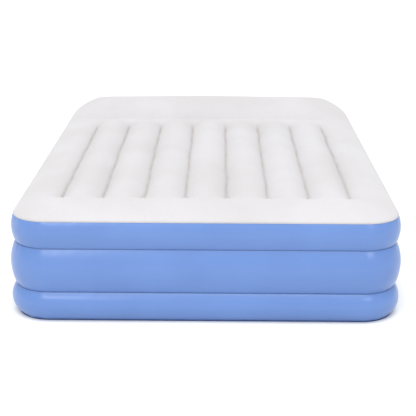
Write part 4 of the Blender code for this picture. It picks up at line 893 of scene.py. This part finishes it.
SCREW_HEAD = 0.0038
SCREW_HEAD_HEIGHT = 0.0018
SCREW_SHANK = 0.0018
SCREW_LENGTH = 0.036
SCREW_TIP = 0.003
SCREW_SPREAD = (0.088, 0.049)
CROSS_WIDTH = 0.0009
CROSS_DEPTH = 0.0022
screw_steel, tree, shader, place = finish("plated_screw_steel", 0.32, Metallic=1.0)
brushed_steel = ranged(tree, patches(tree, place, 900.0, 3.0), 0.3, 0.7, 0.0, 1.0)
tree.links.new(blended(tree, brushed_steel, (0.50, 0.51, 0.52), (0.62, 0.62, 0.62)),
               shader.inputs["Base Color"])
scuffs = ranged(tree, patches(tree, place, 700.0, 3.0), 0.3, 0.7, 0.25, 0.40)
tree.links.new(scuffs, shader.inputs["Roughness"])


def lathed(profile, steps):
    """A bmesh turned about Z from a profile of (radius, height) that starts and ends on the axis."""
    bm = bmesh.new()
    rings = []
    for radius, height in profile:
        if radius == 0:
            rings.append([bm.verts.new((0, 0, height))])
        else:
            rings.append([bm.verts.new((radius * math.cos(2 * math.pi * s / steps),
                                        radius * math.sin(2 * math.pi * s / steps), height))
                          for s in range(steps)])
    for low, high in zip(rings, rings[1:]):
        for s in range(steps):
            corners = [low[s % len(low)], low[(s + 1) % steps % len(low)],
                       high[(s + 1) % steps % len(high)], high[s % len(high)]]
            corners = list(dict.fromkeys(corners))
            if len(corners) > 2:
                bm.faces.new(corners)
    bmesh.ops.recalc_face_normals(bm, faces=bm.faces)
    return bm


bm = lathed([(0, 0), (SCREW_HEAD * 0.55, -0.00005), (SCREW_HEAD * 0.9, -0.0004), (SCREW_HEAD, -0.0010),
             (SCREW_HEAD, -SCREW_HEAD_HEIGHT), (SCREW_SHANK, -SCREW_HEAD_HEIGHT),
             (SCREW_SHANK, -SCREW_LENGTH + SCREW_TIP), (0, -SCREW_LENGTH)], 20)
screw = meshed("screw", bm)
bm = bmesh.new()
for turn in (0, 90):
    bmesh.ops.create_cube(bm, size=1, matrix=Matrix.Rotation(math.radians(turn), 4, "Z")
                          @ Matrix.Diagonal((SCREW_HEAD * 1.15, CROSS_WIDTH, CROSS_DEPTH, 1)))
cross = meshed("cross", bm)
recess = screw.modifiers.new("recess", "BOOLEAN")
recess.object = cross
recess.solver = "EXACT"
recess.operation = "DIFFERENCE"
recess.use_self = True
settled(screw)
bpy.data.objects.remove(cross)
screw.data.polygons.foreach_set("use_smooth", [False] * len(screw.data.polygons))


def screw_tree():
    """One screw at each corner of a rectangle, turned to its own angle."""
    tree, sizes = started("panel_screws", ("Width", "Float"), ("Height", "Float"), ("Screw", "Object"),
                          ("Finish", "Material"))
    corners = tree.nodes.new("GeometryNodeMeshGrid")
    corners.inputs["Vertices X"].default_value = 2
    corners.inputs["Vertices Y"].default_value = 2
    loose = node(tree, "GeometryNodeMeshToPoints")
    info = tree.nodes.new("GeometryNodeObjectInfo")
    turns = node(tree, "FunctionNodeRandomValue", data_type="FLOAT_VECTOR")
    turns.inputs["Min"].default_value = (0, 0, 0)
    turns.inputs["Max"].default_value = (0, 0, math.pi)
    turns.inputs["Seed"].default_value = 4
    spread = tree.nodes.new("GeometryNodeInstanceOnPoints")
    joined(tree, (sizes["Width"], corners.inputs["Size X"]),
           (sizes["Height"], corners.inputs["Size Y"]),
           (corners.outputs["Mesh"], loose.inputs["Mesh"]),
           (loose.outputs["Points"], spread.inputs["Points"]),
           (sizes["Screw"], info.inputs["Object"]),
           (info.outputs["Geometry"], spread.inputs["Instance"]),
           (turns.outputs["Value"], spread.inputs["Rotation"]))
    return ended(tree, spread.outputs["Instances"], sizes["Finish"])


screws = grown("panel_screws", screw_tree(), Width=2 * SCREW_SPREAD[0], Height=2 * SCREW_SPREAD[1],
               Screw=screw, Finish=screw_steel)
bpy.data.objects.remove(screw)
screws.data.transform(pump_place)
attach(screws, "mattress")
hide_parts("panel_screw_1", "panel_screw_2", "panel_screw_3", "panel_screw_4")


# Control knob: glass-filled nylon, turned by its grip bar. Its rim has fine ribs, and a white line on the bar
# shows which way it points. Shaft and air selector disc turn with it.

KNOB_RADIUS = 0.033
KNOB_LOW = -0.0152
KNOB_BASE = 0.005
RIB_COUNT = 72
RIB_WIDTH = 0.0012
POINTER_Y = 0.017
POINTER_Z = -0.00066
POINTER_SIZE = (0.0016, 0.020, 0.0004)
knob_plastic = moulded("knob_grey_nylon", (0.56, 0.57, 0.58), (0.51, 0.52, 0.53), 0.42)
knob = cleaned("control_knob", "knob_grip", knob_plastic, 0.0007, 3)
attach(knob, "knob")
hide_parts("control_knob")

bm = bmesh.new()
bmesh.ops.create_cube(bm, size=1, matrix=Matrix.Translation((KNOB_X, POINTER_Y, POINTER_Z))
                      @ Matrix.Diagonal((*POINTER_SIZE, 1)))
pointer = placed("knob_pointer_line", bm, mark_plastic)
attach(pointer, "knob")


def rib_tree():
    """Short upright ribs, side by side round a circle."""
    tree, sizes = started("knob_ribs", ("Radius", "Float"), ("Count", "Int"), ("Rib", "Vector"),
                          ("Finish", "Material"))
    ring = tree.nodes.new("GeometryNodeCurvePrimitiveCircle")
    spread = tree.nodes.new("GeometryNodeCurveToPoints")
    rib = tree.nodes.new("GeometryNodeMeshCube")
    stand = tree.nodes.new("GeometryNodeInstanceOnPoints")
    joined(tree, (sizes["Radius"], ring.inputs["Radius"]),
           (sizes["Count"], ring.inputs["Resolution"]),
           (ring.outputs["Curve"], spread.inputs["Curve"]),
           (sizes["Count"], spread.inputs["Count"]),
           (spread.outputs["Points"], stand.inputs["Points"]),
           (sizes["Rib"], rib.inputs["Size"]),
           (rib.outputs["Mesh"], stand.inputs["Instance"]),
           (spread.outputs["Rotation"], stand.inputs["Rotation"]))
    return ended(tree, stand.outputs["Instances"], sizes["Finish"])


ribs = grown("knob_ribs", rib_tree(), Radius=KNOB_RADIUS, Count=RIB_COUNT, Finish=knob_plastic,
             Rib=(RIB_WIDTH, RIB_WIDTH, KNOB_BASE * 0.7))
ribs.data.transform(pump_place @ Matrix.Translation((KNOB_X, 0, KNOB_LOW + KNOB_BASE / 2)))
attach(ribs, "knob")


# Cord door: a moulded ABS flap over the cord's tray, hung on a steel pin across its top. It has a thumb notch
# and three grip ribs below.

DOOR_X = 0.042
GRIP_Y = -0.033
GRIP_PITCH = 0.0034
GRIP_LIFT = 0.0001
GRIP_SIZE = (0.026, 0.0011, 0.0008)
GRIP_EDGE = 0.0003
door = cleaned("cord_door", "cord_flap", panel_plastic, 0.0004)
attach(door, "door")
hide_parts("cord_door")
bm = bmesh.new()
for rank in range(3):
    place_of_rib = Matrix.Translation((DOOR_X, GRIP_Y + GRIP_PITCH * rank, GRIP_LIFT))
    bmesh.ops.create_cube(bm, size=1, matrix=place_of_rib @ Matrix.Diagonal((*GRIP_SIZE, 1)))
bmesh.ops.bevel(bm, geom=bm.edges[:], offset=GRIP_EDGE, segments=2, profile=0.5, affect="EDGES",
                clamp_overlap=True)
door_ribs = placed("cord_flap_ribs", bm, panel_plastic)
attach(door_ribs, "door")


# Power switch: a rocker in a frame, both of glossy black nylon. The frame snaps into the bezel, and the
# rocker turns on a steel pin in the frame.

black_plastic = moulded("black_switch_nylon", (0.018, 0.018, 0.020), (0.013, 0.013, 0.015), 0.30,
                        1200.0, 0.15)
switch = cleaned("switch_body", "switch_frame", black_plastic, 0.0003)
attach(switch, "mattress")
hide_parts("switch_body")
rocker = cleaned("rocker_button", "rocker_cap", black_plastic, 0.0004)
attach(rocker, "rocker")
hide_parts("rocker_button")


# Hidden works: gasket, housing, fan, motor, lead, selector, cord tray, filter and check valve keep their CAD
# shapes. They are moulded nylon and ABS, nitrile rubber, open foam, plated steel and one zinc-coated can.

grey_plastic = moulded("housing_grey_abs", (0.30, 0.31, 0.33), (0.26, 0.27, 0.29), 0.5)
seal_rubber = moulded("nitrile_rubber", (0.020, 0.020, 0.021), (0.014, 0.014, 0.015), 0.65, 700.0, 0.3)
motor_steel, tree, shader, place = finish("zinc_coated_steel", 0.4, Metallic=0.9)
spangle = node(tree, "ShaderNodeTexVoronoi", {"Scale": 320.0})
tree.links.new(place, spangle.inputs["Vector"])
tree.links.new(blended(tree, spangle.outputs["Distance"], (0.42, 0.43, 0.45), (0.56, 0.57, 0.58)),
               shader.inputs["Base Color"])
filter_foam, tree, shader, place = finish("open_foam", 0.95)
cells = node(tree, "ShaderNodeTexVoronoi", {"Scale": 900.0})
tree.links.new(place, cells.inputs["Vector"])
tree.links.new(blended(tree, cells.outputs["Distance"], (0.030, 0.030, 0.033), (0.075, 0.075, 0.080)),
               shader.inputs["Base Color"])
bumped(tree, shader, (cells.outputs["Distance"], 0.8, 0.0004))
for finish_material, names in (
        (grey_plastic, ("pump_housing", "impeller_cover", "knob_shaft", "valve_retainer")),
        (black_plastic, ("air_selector_disc", "cord_compartment", "impeller", "valve_seat")),
        (seal_rubber, ("housing_gasket", "cord_gland", "motor_lead", "valve_disc")),
        (screw_steel, ("door_hinge_pin", "rocker_pin", "motor_shaft")),
        (motor_steel, ("motor_bracket", "motor_can")),
        (filter_foam, ("intake_filter",))):
    for name in names:
        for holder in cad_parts[name].material_slots:
            holder.link = "OBJECT"
            holder.material = finish_material


# Check valve spring: a steel coil between the seat's guide and the retainer. On the pump it shortens as the
# valve opens, its guide end staying with the housing and its other end following the retainer. Here it is a
# cleaned copy of its CAD node, fixed in place.

coil = cleaned("valve_spring", "valve_coil", screw_steel)
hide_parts("valve_spring")
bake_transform(coil)
